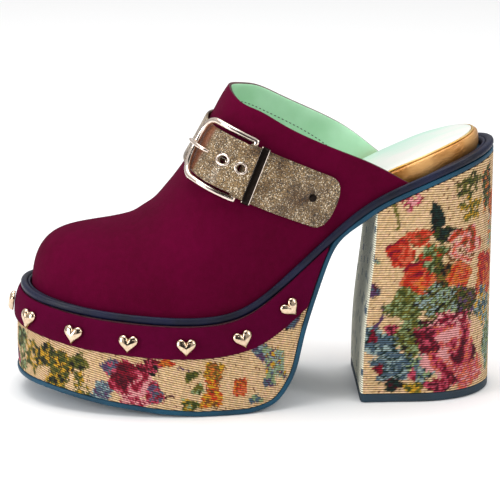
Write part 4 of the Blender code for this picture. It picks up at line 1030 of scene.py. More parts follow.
# Painter, along, up, half width, half height, turn, lobes, then the tones of the palette
HEEL_MOTIFS = motif_table("""
patch -62 104 6 7 10 4 pink rose crimson cream
stem -84 92 16 0.8 20 34 olive
stem -98 88 18 0.6 22 24 sage
patch -49 95 4.5 8 10 3 pine black pine
patch -45 86 9 5 0 3 pine black moss
patch -31 110 10 6 20 5 moss olive black olive cream
patch -30 98 8 8 40 5 olive gold moss cream
patch -17 106 6 14 0 4 moss olive pine black orange
patch -10 96 5 9 0 3 coral orange brown
patch -12 82 4 9 0 3 sage mist orange
patch -58 85 8 5 10 3 poppy coral poppy brown
rose -67 77 8 8 20 4 crimson poppy poppy coral
patch -51 76 9 6 10 4 sage moss olive poppy
rose -57 64 11 11 70 5 crimson poppy poppy coral orange
patch -45 65 6 9 0 3 moss black brown olive
patch -52 70 4 4 0 3 sage moss
rose -33 79 12 11 120 5 brown poppy coral pink peach brown
rose -36 64 8 8 200 4 poppy coral orange poppy
rose -17 62 10 14 60 4 poppy crimson poppy orange coral
patch -83 88 2 3 0 3 slate sage
patch -80 73 3 2 0 3 slate sage
patch -80 58 3.5 5 20 3 violet wine slate
stem -84 47 9 0.8 -30 50 violet
patch -63 50 13 10 10 4 moss olive sage olive moss
patch -47 52 14 10 0 5 sage moss mist olive black
patch -32 50 8 11 10 3 moss brown black olive violet
patch -19 46 8 11 0 4 slate moss mist gold
patch -61 34 12 11 30 4 olive moss sage olive black
patch -47 40 9 6 0 3 black moss wine olive
patch -78 31 9 11 70 4 slate slate pine mist
patch -70 19 12 10 10 5 slate mist pine slate
patch -55 18 9 9 10 4 mist slate sage pine
patch -80 34 2.2 4 0 3 crimson wine
patch -71 38 4 3 0 3 crimson rose wine
patch -77 17 3 3 20 3 crimson wine
patch -60 14 2 4 0 3 crimson rose
patch -69 9 6 4 0 3 black pine wine
patch -59 7 6 4 0 3 olive gold moss
rose -40 26 17 20 215 5 wine crimson rose coral pink pink
patch -53 32 7 9 20 4 wine crimson wine rose
patch -46 8 9 5 0 3 crimson rose wine
patch -28 12 12 8 20 4 coral pink rose coral
patch -40 42 12 5 0 4 crimson wine rose pink
patch -13 26 6 18 0 4 sage mist moss sage
rose 4 66 9 10 30 5 crimson rose pink
patch 2 40 8 12 60 4 moss olive sage
rose 24 30 15 16 120 5 wine crimson rose coral pink
patch 20 58 12 9 20 4 moss sage olive
rose 40 76 12 12 60 5 brown poppy coral orange
patch 56 50 11 10 100 4 slate mist pine
rose 62 22 12 12 90 5 wine crimson rose pink
patch 42 98 9 7 60 4 olive gold moss
patch 66 92 8 8 110 4 pine moss black
patch 12 90 6 8 0 4 gold olive moss
patch 42 12 9 6 30 4 sage olive moss
""")
foot = HEEL_TIP_THICKNESS + GAP
rows = [
    heel_ring(float(breast(up)), lambda x: foot + up * (underside(x) - GAP / seat_cosine(x) - foot))
    for up in np.linspace(0, 1, 165)
]
points, faces = stack(rows)
steps = np.linalg.norm(np.diff(points[..., :2], axis=1), axis=2)
middle = points.shape[1] // 2 + 1
u = np.concatenate([np.zeros((len(rows), 1)), np.cumsum(steps, axis=1)], axis=1)
u = u - u[:, middle:middle + 1]
v = points[..., 2]
paint = weave_colours(u, v, HEEL_MOTIFS, 0.0)
on_breast = points[..., 0] < np.array([r[0, 0] for r in rows])[:, None] + 0.9 * MM
dash = hashed(np.floor(v / (3 * RIB)), np.floor(points[..., 1] / (1.9 * MM))) > 0.94
pale = np.where(dash[..., None], CLOTH["slate"], CLOTH["ivory"])
# The ivory and the slate dashes are the cloth's own. The factor of 1.25 is painted light on the breast, which
# the platform shades.
paint[..., :3] = np.where(on_breast[..., None], np.minimum(pale * 1.25, 0.95), paint[..., :3])
cloth = np.stack([u, v, u * 0], -1)
build("heel_tapestry", points, faces, tapestry_cloth, ["heel"], "tapestry",
      attributes=(("paint", paint), ("cloth", cloth)), sharp=60)

rows = [
    heel_ring(float(breast(0.0)), lambda x: x * 0 + up * HEEL_TIP_THICKNESS, inset * MM)
    for inset, up in ((-0.5, 0.0), (-0.1, 0.06), (0.0, 0.2), (0.0, 0.8), (-0.1, 0.94), (-0.5, 1.0))
]
build("heel_top_piece", *stack(rows), tip_rubber, ["heel_tip"], "rubber", sharp=60)

# %% [markdown]
# ## Upper
# The upper is one sheet over the last. Its sections are superellipses: with turn t from the outer
# feather line over the ridge to the inner one, a point stands at cos(t)^(2/p) across and
# sin(t)^(2/p) up. The sheet is 2 mm thick, with mint lining inside and a dark cut edge at the
# collar, and soft troughs where the foot would bend it.

# %% Upper surface
def upper_row(x, place):
    """A column of the upper's table at x."""
    return spline(UPPER_ROWS[:, 0], UPPER_ROWS[:, place], along(x))


RIDGE = through(UPPER_ROWS[:, :2] * (FEATHER_LENGTH, INSTEP_HEIGHT) + (FRONT, 0), 2000)


def ridge_height(x):
    """Height of the upper's ridge."""
    return PLATFORM_HEIGHT + np.interp(x, np.maximum.accumulate(RIDGE[:, 0]), RIDGE[:, 1])


def upper_foot(x):
    """Height where the upper starts, just over the feather line."""
    return seat(x) + 0.45 * MM


def upper_point(x, turn):
    """Outer face of the upper: turn is 0 at the outer feather line, half pi on the ridge, pi inside."""
    x = np.asarray(x, float)
    turn = np.broadcast_to(turn, x.shape)
    outer = on_feather("outer", x.ravel())[0][:, 1].reshape(x.shape)
    inner = on_feather("inner", x.ravel())[0][:, 1].reshape(x.shape)
    middle = upper_row(x, 2) * BALL_WIDTH
    side = np.where(turn <= math.pi / 2, outer, inner)
    power = 2 / upper_row(x, 3)
    across = np.abs(np.cos(turn)) ** power
    up = np.abs(np.sin(turn)) ** power
    wider = np.where(turn <= math.pi / 2, upper_row(x, 4), upper_row(x, 5))
    side = side * (1 + (wider - 1) * ease((up - 0.07) / (0.42 - 0.07)))
    foot = upper_foot(x)
    top = np.maximum(ridge_height(x), foot)
    return np.stack([x, middle + (side - middle) * across, foot + (top - foot) * up], -1)


def collar_places(turns):
    """Where the collar crosses each turn of the sections, as x."""
    x = FRONT + np.linspace(COLLAR_ROWS[0, 0], COLLAR_ROWS[-1, 0], 400) * FEATHER_LENGTH
    foot = upper_foot(x)
    crossings = []
    for place in (1, 2):
        rise = INSTEP_HEIGHT * spline(COLLAR_ROWS[:, 0], COLLAR_ROWS[:, place], along(x))
        share = np.clip((PLATFORM_HEIGHT + rise - foot) / (ridge_height(x) - foot), 0, 1)
        share[0], share[-1] = 1, 0
        turn = np.minimum.accumulate(np.arcsin(share ** (upper_row(x, 3) / 2)))
        crossings.append(np.interp(np.minimum(turns, math.pi - turns), turn[::-1], x[::-1]))
    return np.where(turns <= math.pi / 2, crossings[0], crossings[1])


FOLDS = (
    # along, turn, width, reach, height in mm
    (0.235, 1.30, 0.016, 0.75, -0.35), (0.272, 1.75, 0.018, 0.80, -0.40),
    (0.254, 1.55, 0.014, 0.90, 0.18), (0.330, 0.60, 0.020, 0.35, -0.30),
    (0.350, 2.50, 0.022, 0.40, -0.35), (0.140, 0.90, 0.030, 0.50, -0.20),
)


def folds(x, turn):
    """Soft troughs and ridges: each is a bell across its line and a wider bell along it."""
    total = np.zeros(np.broadcast(x, turn).shape)
    for place, middle, width, reach, height in FOLDS:
        line = place + 0.022 * np.cos(2 * (turn - middle)) - 0.022
        total += height * MM * np.exp(-((along(x) - line) / width) ** 2 - ((turn - middle) / reach) ** 2)
    return total


print("ridge at the collar", round(float(ridge_height(FRONT + 0.435 * FEATHER_LENGTH)) / MM, 1), "mm")

# %% Upper sheet
half = np.linspace(0, 1, 91)
turns = math.pi / 2 * half**1.15
turns = np.concatenate([turns, math.pi - turns[-2::-1]])
ends = collar_places(turns)
share = (np.linspace(0, 1, 131) ** 1.9)[:, None]
x = FRONT + (ends - FRONT) * share
outer = upper_point(x, np.tile(turns, (131, 1)))
outer[0] = upper_point(np.array([FRONT]), np.array([0.0]))
normal = normals_of(outer)
inside = np.array([0.0, 0.0, PLATFORM_HEIGHT + 0.02])
normal *= np.where(((outer - inside) * normal).sum(-1) < 0, -1, 1)[..., None]
normal[0] = (-1, 0, 0)
outer = outer + normal * folds(x, turns[None, :])[..., None]
inner_face = outer - normal * UPPER_WALL
ahead = outer[-1] - outer[-3]
ahead /= np.linalg.norm(ahead, axis=1)[:, None]
lip = []
for t in np.linspace(0, math.pi, 9)[1:-1]:
    inwards = normal[-1] * UPPER_WALL * (1 - math.cos(t)) / 2
    lip.append(outer[-1] - inwards + ahead * 0.7 * MM * math.sin(t))
points = np.concatenate([outer, lip, inner_face[::-1]])
rows_in_all, columns = points.shape[:2]
faces = grid_faces(rows_in_all, columns)
looks = np.repeat(np.r_[np.zeros(132), np.ones(4), np.full(rows_in_all - 137, 2)], columns - 1)
for column in (0, columns - 1):
    for i in range(130):
        last = rows_in_all - 1
        faces.append([k * columns + column for k in (i, i + 1, last - i - 1, last - i)])
looks = np.concatenate([looks, np.zeros(260)])
build("suede_upper", points, faces, [plum_suede, cut_edge, lining_mint], ["upper"], "suede", looks=looks)


# %% Stitches
def stitches(name, path, up, finish_now, slot, pitch=2.4, length=1.6, radius=0.24):
    """Short threads along a path: small bars with round ends, half sunk in what they are sewn to."""
    steps = np.concatenate([[0], np.cumsum(np.linalg.norm(np.diff(path, axis=0), axis=1))])
    count = int(steps[-1] / (pitch * MM))
    middle = (np.arange(count) + 0.5) * pitch * MM
    spread = np.linspace(-0.5, 0.5, 5)
    swell = np.array([0.25, 0.85, 1.0, 0.85, 0.25]) * radius * MM
    at = middle[:, None] + spread * length * MM
    core = np.stack([np.interp(at, steps, path[:, k]) for k in range(3)], -1)
    rise = np.stack([np.interp(at, steps, up[:, k]) for k in range(3)], -1)
    run = core[:, -1:] - core[:, :1]
    run /= np.linalg.norm(run, axis=2)[..., None]
    side = np.cross(run, rise)
    angle = np.linspace(0, 2 * math.pi, 7)[:-1]
    loops = core[:, :, None] + swell[:, None, None] * (
        side[:, :, None] * np.cos(angle)[:, None] + rise[:, :, None] * np.sin(angle)[:, None]
    )
    one = grid_faces(5, 6, wrap_columns=True) + [list(range(6))[::-1], list(range(24, 30))]
    faces = [[corner + 30 * n for corner in face] for n in range(count) for face in one]
    return build(name, loops, faces, finish_now, (), slot)


thread_dark = leather("dark thread", "2A1A1E", "3A2628", (0.6, 0.8), scale=3000.0)
near_edge = 6
path = inner_face[-near_edge, 12:-12]
stitches("collar_stitches", path, -normal[-near_edge, 12:-12], thread_dark, "mint",
         pitch=2.2, length=1.3, radius=0.22)

# %% [markdown]
# ## Strap and buckle
# The strap is a slice of the upper's face between two sloping planes, so its pieces are placed by
# how far they lie along it, across it and above the suede.

# %% Strap surface
STRAP_SLOPE = 0.42
STRAP_WIDTH, STRAP_THICKNESS, STRAP_STAND, STRAP_GAP = 24.5 * MM, 1.6 * MM, 1.4 * MM, 0.55 * MM
TAB_WIDTH, TAB_THICKNESS = 26.5 * MM, 1.0 * MM
BAR_RADIUS, FRAME_RADIUS, FRAME_LENGTH, FRAME_BEND = 1.1 * MM, 1.5 * MM, 30.0 * MM, 9.0 * MM
KEEPER_WIDTH, KEEPER_THICKNESS, KEEPER_CORNER = 3.8 * MM, 0.8 * MM, 0.4 * MM
TAB_END, TIP_END, KEEPER_MIDDLE, RIVET_MIDDLE = 48.0 * MM, 32.7 * MM, 5.6 * MM, 35.2 * MM
EYELETS, PRONG_HOLE, EYELET_ACROSS, EYELET_HOLE = (-1.6 * MM, -9.9 * MM), -18.8 * MM, 0.5 * MM, 1.9 * MM
EYELET_RIM, RIVET_RADIUS = 1.1 * MM, 1.9 * MM
LEVEL_PER_WIDTH = math.sqrt(1 + STRAP_SLOPE**2)
STRAP_MIDDLE = PLATFORM_HEIGHT + 0.643 * INSTEP_HEIGHT
BAR_X = FRONT + 0.466 * FEATHER_LENGTH
SHEET_TURNS, SHEET_ACROSS, SQUARE_REACH = 360, np.linspace(-20, 20, 17) * MM, 50


def strap_sheet():
    """Points and normals of the suede in rows square to the strap, and each row's place along it."""
    x = FRONT + np.linspace(0.2, 0.86, 200) * FEATHER_LENGTH
    turns = np.linspace(0.04, math.pi - 0.04, SHEET_TURNS)
    face = upper_point(np.tile(x, (SHEET_TURNS, 1)), turns[:, None])
    level = face[..., 2] + STRAP_SLOPE * x
    wanted = STRAP_MIDDLE + SHEET_ACROSS * LEVEL_PER_WIDTH
    slices = np.empty((SHEET_TURNS, len(SHEET_ACROSS), 3))
    for i in range(SHEET_TURNS):
        for k in range(3):
            slices[i, :, k] = np.interp(wanted, level[i], face[i, :, k])
    centre = slices[:, len(SHEET_ACROSS) // 2]
    ahead = np.gradient(centre, axis=0)
    ahead /= np.linalg.norm(ahead, axis=1)[:, None]
    square = np.empty_like(slices)
    for i in range(SHEET_TURNS):
        near = slice(max(0, i - SQUARE_REACH), i + SQUARE_REACH + 1)
        for j in range(len(SHEET_ACROSS)):
            line = slices[near, j]
            off = np.maximum.accumulate((line - centre[i]) @ ahead[i])
            square[i, j] = [np.interp(0, off, line[:, k]) for k in range(3)]
    normal = normals_of(square)
    inside = np.array([0.0, 0.0, PLATFORM_HEIGHT + INSTEP_HEIGHT / 3])
    normal *= np.where(((square - inside) * normal).sum(axis=2) < 0, -1, 1)[..., None]
    lengths = np.concatenate([[0], np.cumsum(np.linalg.norm(np.diff(centre, axis=0), axis=1))])
    first = slice(0, SHEET_TURNS // 2)
    bar = np.interp(-BAR_X, -centre[first, 0], lengths[first])
    return square, normal, bar - lengths


SHEET, SHEET_NORMAL, SHEET_PLACES = strap_sheet()
SHEET_X = SHEET[:, len(SHEET_ACROSS) // 2, 0]
rear_half = slice(SHEET_TURNS // 2, None)
tab_end_x = np.interp(-TAB_END, -SHEET_PLACES, SHEET_X)
INNER_END = float(np.interp(tab_end_x, SHEET_X[rear_half], SHEET_PLACES[rear_half]))


def between(table, row, place):
    """Values of a table between its rows and columns."""
    i = np.clip(row.astype(int), 0, table.shape[0] - 2)
    j = np.clip(place.astype(int), 0, table.shape[1] - 2)
    s, t = (row - i)[:, None], (place - j)[:, None]
    low = table[i, j] * (1 - t) + table[i, j + 1] * t
    return low * (1 - s) + (table[i + 1, j] * (1 - t) + table[i + 1, j + 1] * t) * s


def on_strap(place, across, height):
    """Points by their place along the strap from the bar, across it and above the suede."""
    place, across, height = np.broadcast_arrays(place, across, height)
    row = np.interp(-place.ravel(), -SHEET_PLACES, np.arange(SHEET_TURNS))
    column = np.interp(across.ravel(), SHEET_ACROSS, np.arange(len(SHEET_ACROSS)))
    normal = between(SHEET_NORMAL, row, column)
    normal /= np.linalg.norm(normal, axis=1)[:, None]
    points = between(SHEET, row, column) + normal * height.ravel()[:, None]
    return points.reshape(place.shape + (3,))


def sandwich(top, bottom):
    """Points and faces of a solid between two matching grids, closed round their edges."""
    rows, columns = top.shape[:2]
    count = rows * columns
    faces = grid_faces(rows, columns)
    faces += [[corner + count for corner in face[::-1]] for face in faces]
    rim = list(range(columns)) + [i * columns + columns - 1 for i in range(1, rows)]
    rim += [(rows - 1) * columns + j for j in range(columns - 2, -1, -1)]
    rim += [i * columns for i in range(rows - 2, 0, -1)]
    faces += [[a, b, b + count, a + count] for a, b in zip(rim, rim[1:] + rim[:1])]
    return np.concatenate([top.reshape(-1, 3), bottom.reshape(-1, 3)]), faces


def rounded_end(across, half_width, depth):
    """How far an end steps back at a distance from the middle of the strap."""
    share = np.clip(np.abs(across) / half_width, 0, 1)
    return depth * (1 - (1 - share**2.4) ** (1 / 2.4))


def tab_middle(place):
    """Height of the folded tab's middle: raised over the keeper's lower leg, low at the rivet."""
    low = GAP + TAB_THICKNESS + GAP / 2
    fall = RIVET_MIDDLE - KEEPER_MIDDLE - KEEPER_WIDTH
    return low + (KEEPER_THICKNESS + GAP) * ease((RIVET_MIDDLE - place) / fall)


ROLL_RADIUS = BAR_RADIUS + GAP + TAB_THICKNESS
BAR_HEIGHT = ROLL_RADIUS + GAP


def strap_underside(place):
    """Height of the strap's underside: over the tab and its roll, and down to the upper."""
    tab_top = tab_middle(place) + TAB_THICKNESS + GAP / 2 + GAP
    roll_top = BAR_HEIGHT + ROLL_RADIUS + GAP
    over = tab_top + (roll_top - tab_top) * (1 - ease((place - ROLL_RADIUS) / 5 / MM))
    front = STRAP_GAP + STRAP_STAND * (1 - ease((-place - FRAME_LENGTH) / FRAME_LENGTH))
    down = front + (roll_top - front) * (1 - ease(-place / FRAME_LENGTH) ** 1.4)
    return np.where(place > 0, over, down)


def strap_top(place):
    """Height of the strap's upper face."""
    return strap_underside(np.asarray(place, float)) + STRAP_THICKNESS


print("strap from", round(TIP_END / MM, 1), "to", round(INNER_END / MM, 1), "mm along it")


# %% Strap
def thick(shape, thickness):
    """Half thickness across a strip: full in the middle, rounded in its last millimetre."""
    return thickness / 2 * (1 - np.abs(shape) ** 16) ** 0.5


shape = np.sin(np.linspace(-1, 1, 46) * math.pi / 2)
across = shape * STRAP_WIDTH / 2
step = rounded_end(across, STRAP_WIDTH / 2, 6 * MM)
share = np.linspace(0, 1, 400)[:, None]
place = (TIP_END - step) * (1 - share) + (INNER_END + step) * share
grid = np.broadcast_to(across, place.shape)
middle = strap_underside(place) + STRAP_THICKNESS / 2
rise = thick(shape, STRAP_THICKNESS)
# Painted shade: a mask from about 20 to 36 mm in front of the bar, where the strap turns away under the
# buckle frame.
wear_and_painted_shade = ease((-place - 20 * MM) / (3 * MM)) * (1 - ease((-place - 32 * MM) / (4 * MM)))
wear_and_painted_shade = np.repeat(np.tile(wear_and_painted_shade.reshape(-1, 1), (2, 1)), 3, axis=1)
strap = build(
    "glitter_strap",
    *sandwich(on_strap(place, grid, middle + rise), on_strap(place, grid, middle - rise)),
    gold_glitter, ["strap"], "glitter", attributes=(("wear_and_painted_shade", wear_and_painted_shade),), sharp=60,
)


def cut_holes(target, places):
    """Cuts the eyelet holes with cylinders that stand square to the strap, and keeps the result."""
    cutters = []
    for place in places:
        heights = np.array([float(strap_top(place)), 0.0])
        base, under = on_strap(np.full(2, place), np.full(2, EYELET_ACROSS), heights) + SHIFT
        shape = bmesh.new()
        bmesh.ops.create_cone(
            shape, cap_ends=True, segments=32, radius1=EYELET_HOLE, radius2=EYELET_HOLE, depth=8 * MM
        )
        lean = Vector(base - under).to_track_quat("Z", "Y").to_matrix().to_4x4()
        lean.translation = Vector(base)
        shape.transform(lean)
        mesh = bpy.data.meshes.new("hole")
        shape.to_mesh(mesh)
        shape.free()
        cutter = bpy.data.objects.new("hole", mesh)
        bpy.context.scene.collection.objects.link(cutter)
        cut = target.modifiers.new("hole", "BOOLEAN")
        cut.operation, cut.solver, cut.object = "DIFFERENCE", "EXACT", cutter
        cutters.append(cutter)
    bpy.context.view_layer.update()
    found = bpy.context.evaluated_depsgraph_get()
    mesh = bpy.data.meshes.new_from_object(target.evaluated_get(found))
    target.modifiers.clear()
    target.data = mesh
    for cutter in cutters:
        bpy.data.objects.remove(cutter, do_unlink=True)
    print(target.name, "with holes", len(mesh.polygons), "faces")


cut_holes(strap, EYELETS)

# %% Tab
columns = 34
shape = np.sin(np.linspace(-1, 1, columns) * math.pi / 2)
across = shape * TAB_WIDTH / 2
layer = (TAB_THICKNESS + GAP) / 2
neck = ROLL_RADIUS + 2 * TAB_THICKNESS
arc = np.linspace(-1, 1, 40) * (math.pi - math.asin(2 * layer / ROLL_RADIUS))
middle = BAR_RADIUS + GAP + TAB_THICKNESS / 2
inner, outer = [], []
for v, s in zip(across, shape):
    run = np.linspace(TAB_END - rounded_end(v, TAB_WIDTH / 2, 8 * MM), neck, 60)
    lower = np.column_stack([run, tab_middle(run) - layer])
    upper = np.column_stack([run, tab_middle(run) + layer])[::-1]
    fold = np.column_stack([-middle * np.cos(arc), BAR_HEIGHT + middle * np.sin(arc)])
    line = np.concatenate([lower, fold, upper])
    ahead = np.gradient(line, axis=0)
    ahead /= np.linalg.norm(ahead, axis=1)[:, None]
    side = np.stack([ahead[:, 1], -ahead[:, 0]], -1) * thick(s, TAB_THICKNESS)
    inner.append(line - side)
    outer.append(line + side)
inner, outer = np.array(inner), np.array(outer)
wide = np.broadcast_to(across[:, None], inner.shape[:2])
build(
    "glitter_tab",
    *sandwich(on_strap(outer[..., 0], wide, outer[..., 1]), on_strap(inner[..., 0], wide, inner[..., 1])),
    gold_glitter, ["strap_tab"], "glitter", sharp=60,
)


# %% Buckle
def tube(points, radii, closed=False, sides=20):
    """A round bar along a line: circles square to the line, carried along without twist."""
    points = np.asarray(points)
    ahead = (np.roll(points, -1, 0) - np.roll(points, 1, 0)) if closed else np.gradient(points, axis=0)
    ahead /= np.linalg.norm(ahead, axis=1)[:, None]
    side = np.zeros_like(points)
    side[0] = np.cross(ahead[0], (0.3, 0.2, 1.0))
    for i in range(len(points)):
        start = side[i - 1] if i else side[0]
        flat = start - ahead[i] * (start @ ahead[i])
        side[i] = flat / np.linalg.norm(flat)
    rise = np.cross(ahead, side)
    angle = np.linspace(0, 2 * math.pi, sides + 1)[:-1]
    loops = points[:, None] + np.asarray(radii)[:, None, None] * (
        side[:, None] * np.cos(angle)[:, None] + rise[:, None] * np.sin(angle)[:, None]
    )
    faces = grid_faces(len(points), sides, wrap_rows=closed, wrap_columns=True)
    if not closed:
        faces += [list(range(sides))[::-1], list(range((len(points) - 1) * sides, len(points) * sides))]
    return loops, faces


def frame_height(place):
    """Height of the buckle frame's centre line, from under the strap at the bar to over it in front."""
    front = strap_underside(np.array(-FRAME_LENGTH)) + STRAP_THICKNESS + 2 * GAP + FRAME_RADIUS
    return BAR_HEIGHT + (front - BAR_HEIGHT) * ease(-place / FRAME_LENGTH)


half_width = STRAP_WIDTH / 2 + 1.4 * MM + FRAME_RADIUS
low_half = STRAP_WIDTH / 2 + 0.8 * MM + FRAME_RADIUS
turn = np.linspace(-1, 1, 41) * math.pi / 2
bend_place = -FRAME_LENGTH + FRAME_BEND * (1 - np.cos(turn) ** 0.8)
bend_across = np.abs(np.sin(turn)) ** 0.85 * np.sign(turn)
arm = np.linspace(-FRAME_LENGTH + FRAME_BEND, 0, 20)[1:]
bar = np.linspace(1, -1, 25)[1:-1]
place = np.concatenate([bend_place, arm, bar * 0, arm[::-1]])
across = np.concatenate([bend_across, arm * 0 + 1, bar, arm * 0 - 1])
on_bar = np.isclose(place, 0) & (np.abs(across) < 1 - FRAME_RADIUS / half_width)
height = frame_height(place)
place = place * (1 - 3.5 * MM / FRAME_LENGTH * (1 - across) / 2)
across = np.where(across > 0, across * half_width, across * low_half)
points = on_strap(place, across, height)
radii = np.where(on_bar, BAR_RADIUS, FRAME_RADIUS)
build("buckle_frame_gold", *tube(points, radii, closed=True), bright_plating, ["buckle_frame"], "pale_gold")

PRONG = 1.0 * MM
top = float(frame_height(np.array(-FRAME_LENGTH))) + FRAME_RADIUS + GAP + PRONG
surface = float(strap_underside(np.array(PRONG_HOLE)))
line = through((
    (-ROLL_RADIUS - GAP - PRONG, BAR_HEIGHT),
    (PRONG_HOLE * 0.5, min(BAR_HEIGHT, surface - GAP - PRONG)),
    (PRONG_HOLE + 2.2 * MM, surface - GAP - PRONG),
    (PRONG_HOLE + 0.5 * MM, surface + STRAP_THICKNESS * 0.3),
    (PRONG_HOLE - 1.0 * MM, surface + STRAP_THICKNESS + GAP + PRONG),
    (-FRAME_LENGTH * 0.86, top - 0.4 * MM),
    (-FRAME_LENGTH - 0.8 * MM, top),
), 80)
radii = PRONG * np.minimum(1, np.sqrt(np.linspace(0, 12, 80)[::-1].clip(0.05, 1)))
points = on_strap(line[:, 0], line[:, 0] * 0 + EYELET_ACROSS, line[:, 1])
build("buckle_prong_gold", *tube(points, radii), bright_plating, ["buckle_prong"], "pale_gold")

flat = TAB_WIDTH / 2 + GAP - KEEPER_CORNER
rings = []
for way, out in ((0, 0), (0, 0.75), (0.08, 1.0), (0.92, 1.0), (1, 0.75), (1, 0)):
    place = KEEPER_MIDDLE + (way - 0.5) * KEEPER_WIDTH
    out = out * KEEPER_THICKNESS
    low = tab_middle(place) - TAB_THICKNESS - GAP * 1.5
    high = strap_top(place) + GAP
    corner = KEEPER_CORNER + out
    across, height = [], []
    for quarter, (sx, level, up) in enumerate(((1, high, 1), (-1, high, 1), (-1, low, -1), (1, low, -1))):
        angle = np.linspace(0, math.pi / 2, 8) + quarter * math.pi / 2
        across += list(sx * flat + corner * np.cos(angle))
        height += list(level - up * KEEPER_CORNER + corner * np.sin(angle))
        if quarter in (0, 2):
            span = np.linspace(sx, -sx, 26)[1:-1] * flat
            across += list(span)
            height += list(span * 0 + level + up * out)
    rings.append(on_strap(np.full(len(across), place), np.array(across), np.array(height)))
points = np.array(rings)
# Painted reflection: the keeper's outer face, its third band of faces, takes the near-black plating. The
# keeper is the same pale metal all round.
looks = np.repeat([0, 0, 1, 0, 0, 0], points.shape[1])
build("keeper_gold", *hoop(points), [bright_plating, dark_metal], ["keeper"], "pale_gold",
      looks=looks, sharp=40)

turn = np.linspace(0, 2 * math.pi, 49)[:-1]
for number, place in enumerate(EYELETS, 1):
    rings = []
    for t in np.linspace(0, math.pi, 9):
        radius = EYELET_HOLE + EYELET_RIM * (1 + math.cos(t)) / 2
        run = place + radius * np.cos(turn)
        height = strap_top(run) + GAP + 0.6 * MM * math.sin(t)
        rings.append(on_strap(run, EYELET_ACROSS + radius * np.sin(turn), height))
    name = f"eyelet_{number}"
    build(name + "_gold", *hoop(np.array(rings)), bright_plating, [name], "pale_gold")
# Painted shade: the rivet is a low dome in the near-black plating, standing for the shaded hollow of a
# tubular rivet.
rings = []
for t in np.linspace(0, math.pi / 2, 8)[:-1]:
    radius = RIVET_RADIUS * math.cos(t)
    run = RIVET_MIDDLE + radius * np.cos(turn)
    top = tab_middle(run) + TAB_THICKNESS + GAP / 2
    rings.append(on_strap(run, EYELET_ACROSS + radius * np.sin(turn), top + GAP + 0.5 * MM * math.sin(t)))
points = np.array(rings)
faces = grid_faces(7, 48, wrap_columns=True) + [list(range(48))[::-1], list(range(288, 336))]
build("rivet_dark", points, faces, dark_metal, ["tab_rivet"], "dark_metal")

# %% [markdown]
# ## Hearts
# Each stud is the plane curve x = 16 sin^3 t, y = 13 cos t - 5 cos 2t - 2 cos 3t - cos 4t, shrunk
# towards its middle while it rises by a quarter of an ellipse.

# %% Heart studs
STUD_PITCH, STUD_WIDTH, STUD_HEIGHT = 28.2 * MM, 10.0 * MM, 9.4 * MM


def heart(turn):
    """The outline of a heart, one wide and one high, pointing down."""
    up = 13 * np.cos(turn) - 5 * np.cos(2 * turn) - 2 * np.cos(3 * turn) - np.cos(4 * turn)
    return 16 * np.sin(turn) ** 3 / 32, (up + 2.5) / 29


reach = stations(0.8 * MM, 0.62)
line, high, low = (band_row(0.60 + shift, BAND_THICKNESS, reach) for shift in (0, -0.2, 0.2))
steps = np.linalg.norm(np.diff(line, axis=0), axis=1)
lengths = np.concatenate([[0], np.cumsum(steps)]) - steps[: len(line) // 2].sum()
across, up = heart(np.linspace(0, 2 * math.pi, 65)[:-1])
for number in range(-6, 7):
    here, fore, aft, above, below = (
        np.array([np.interp(number * STUD_PITCH + shift * MM, lengths, rows[:, k]) for k in range(3)])
        for rows, shift in ((line, 0), (line, 5), (line, -5), (high, 0), (low, 0))
    )
    run, rise = fore - aft, above - below
    out = np.cross(rise, run)
    out /= np.linalg.norm(out)
    run /= np.linalg.norm(run)
    rise = np.cross(run, out)
    rings = []
    for t in np.linspace(0, math.pi / 2, 15):
        size = math.cos(t) ** 0.8
        proud = (0.25 + 2.75 * math.sin(t) ** 0.75) if t else 0.0
        dimple = 0.35 * np.exp(-((across * size) / 0.07) ** 2) * np.clip(up * size * 2.4, 0, 1)
        level = (0.3 + proud - dimple * math.sin(t)) * MM
        flat = np.outer(across * size * STUD_WIDTH, run) + np.outer(up * size * STUD_HEIGHT, rise)
        rings.append(here + out * level[:, None] + flat)
    points = np.array(rings)
    faces = grid_faces(15, 64, wrap_columns=True) + [list(range(64))[::-1]]
    label = f"{number + 7:02d}"
    build(f"heart_{label}_gold", points, faces, pale_gold, [f"heart_stud_{label}"], "pale_gold")

# %% [markdown]
# ## Photograph
# One camera at the photograph's angle, a long lens, a pale floor and soft light from large panels.
# Dark cards in front of the shoe and above it are what polished metal reflects.

# %% Camera, floor and light
scene = bpy.context.scene
target = Vector((0.000371, 0.002718, 0.0702))
eye = Vector((-0.0400, -1.1529, 0.3909))
lens = bpy.data.cameras.new("camera")
lens.lens, lens.sensor_width = 171.8, 36.0
camera = bpy.data.objects.new("camera", lens)
camera.location = eye
camera.rotation_mode = "QUATERNION"
camera.rotation_quaternion = (target - eye).to_track_quat("-Z", "Y")
scene.collection.objects.link(camera)
scene.camera = camera

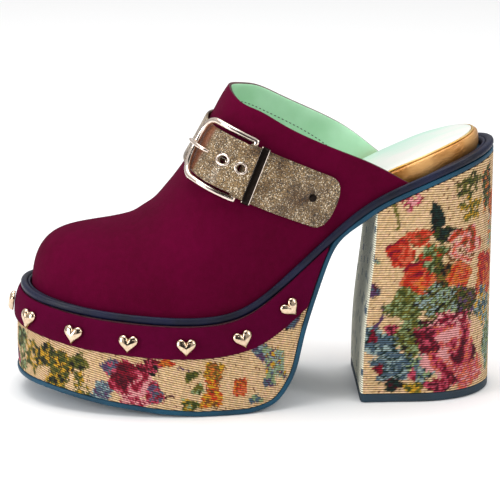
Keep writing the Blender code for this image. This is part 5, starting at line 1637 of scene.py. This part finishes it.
mesh = bpy.data.meshes.new("floor")
corners = [(x, y, -0.0003) for x, y in ((-6, -6), (6, -6), (6, 6), (-6, 6))]
mesh.from_pydata(corners, [], [(0, 1, 2, 3)])
floor = bpy.data.objects.new("floor", mesh)
scene.collection.objects.link(floor)
pale = (0.92, 0.92, 0.92, 1.0)
paper, _, _ = finish("pale paper", Base_Color=pale, Roughness=0.9, Specular_IOR_Level=0.1)
mesh.materials.append(paper)


def panel(name, place, size, power, aim=(0, 0, 0.07)):
    """A soft rectangular light that faces the shoe."""
    light = bpy.data.lights.new(name, "AREA")
    light.shape, light.size, light.size_y, light.energy = "RECTANGLE", size[0], size[1], power
    made = bpy.data.objects.new(name, light)
    made.location = place
    made.rotation_mode = "QUATERNION"
    made.rotation_quaternion = (Vector(aim) - Vector(place)).to_track_quat("-Z", "Y")
    scene.collection.objects.link(made)


def card(name, corners):
    """A dark card that only polished things see."""
    mesh = bpy.data.meshes.new(name)
    mesh.from_pydata(corners, [], [(0, 1, 2, 3)])
    mesh.materials.append(dark_card)
    made = bpy.data.objects.new(name, mesh)
    scene.collection.objects.link(made)
    made.visible_camera = made.visible_diffuse = made.visible_shadow = False


dark = (0.02, 0.02, 0.022, 1.0)
dark_card, _, _ = finish("dark card", Base_Color=dark, Roughness=1.0, Specular_IOR_Level=0.0)
card("card_front", [(-0.75, -1.4, 0.0), (0.45, -1.4, 0.0), (0.45, -1.4, 0.72), (-0.75, -1.4, 0.72)])
card("card_high", [(-0.8, -1.35, 0.72), (0.7, -1.35, 0.72), (0.7, -0.8, 1.3), (-0.8, -0.8, 1.3)])
panel("top", (-0.2, 0.1, 1.5), (1.2, 1.0), 14)
panel("left", (-1.3, -0.75, 0.45), (0.5, 0.9), 11)
panel("right", (1.3, -0.8, 0.9), (0.4, 1.0), 5)
panel("front", (0.2, -1.8, 0.9), (0.7, 0.5), 5)

world = bpy.data.worlds.new("studio")
scene.world = world
world.use_nodes = True
tree = world.node_tree
back = tree.nodes["Background"]
where = add(tree, "SeparateXYZ", {0: add(tree, "TexCoord").outputs["Generated"]})
sky = blend(tree, ramp(tree, where.outputs[2], -0.1, 0.55), (0.30, 0.30, 0.32, 1.0), (1.0, 1.0, 1.0, 1.0))
tree.links.new(sky, back.inputs["Color"])
back.inputs["Strength"].default_value = 0.75
scene.view_settings.view_transform = "Standard"
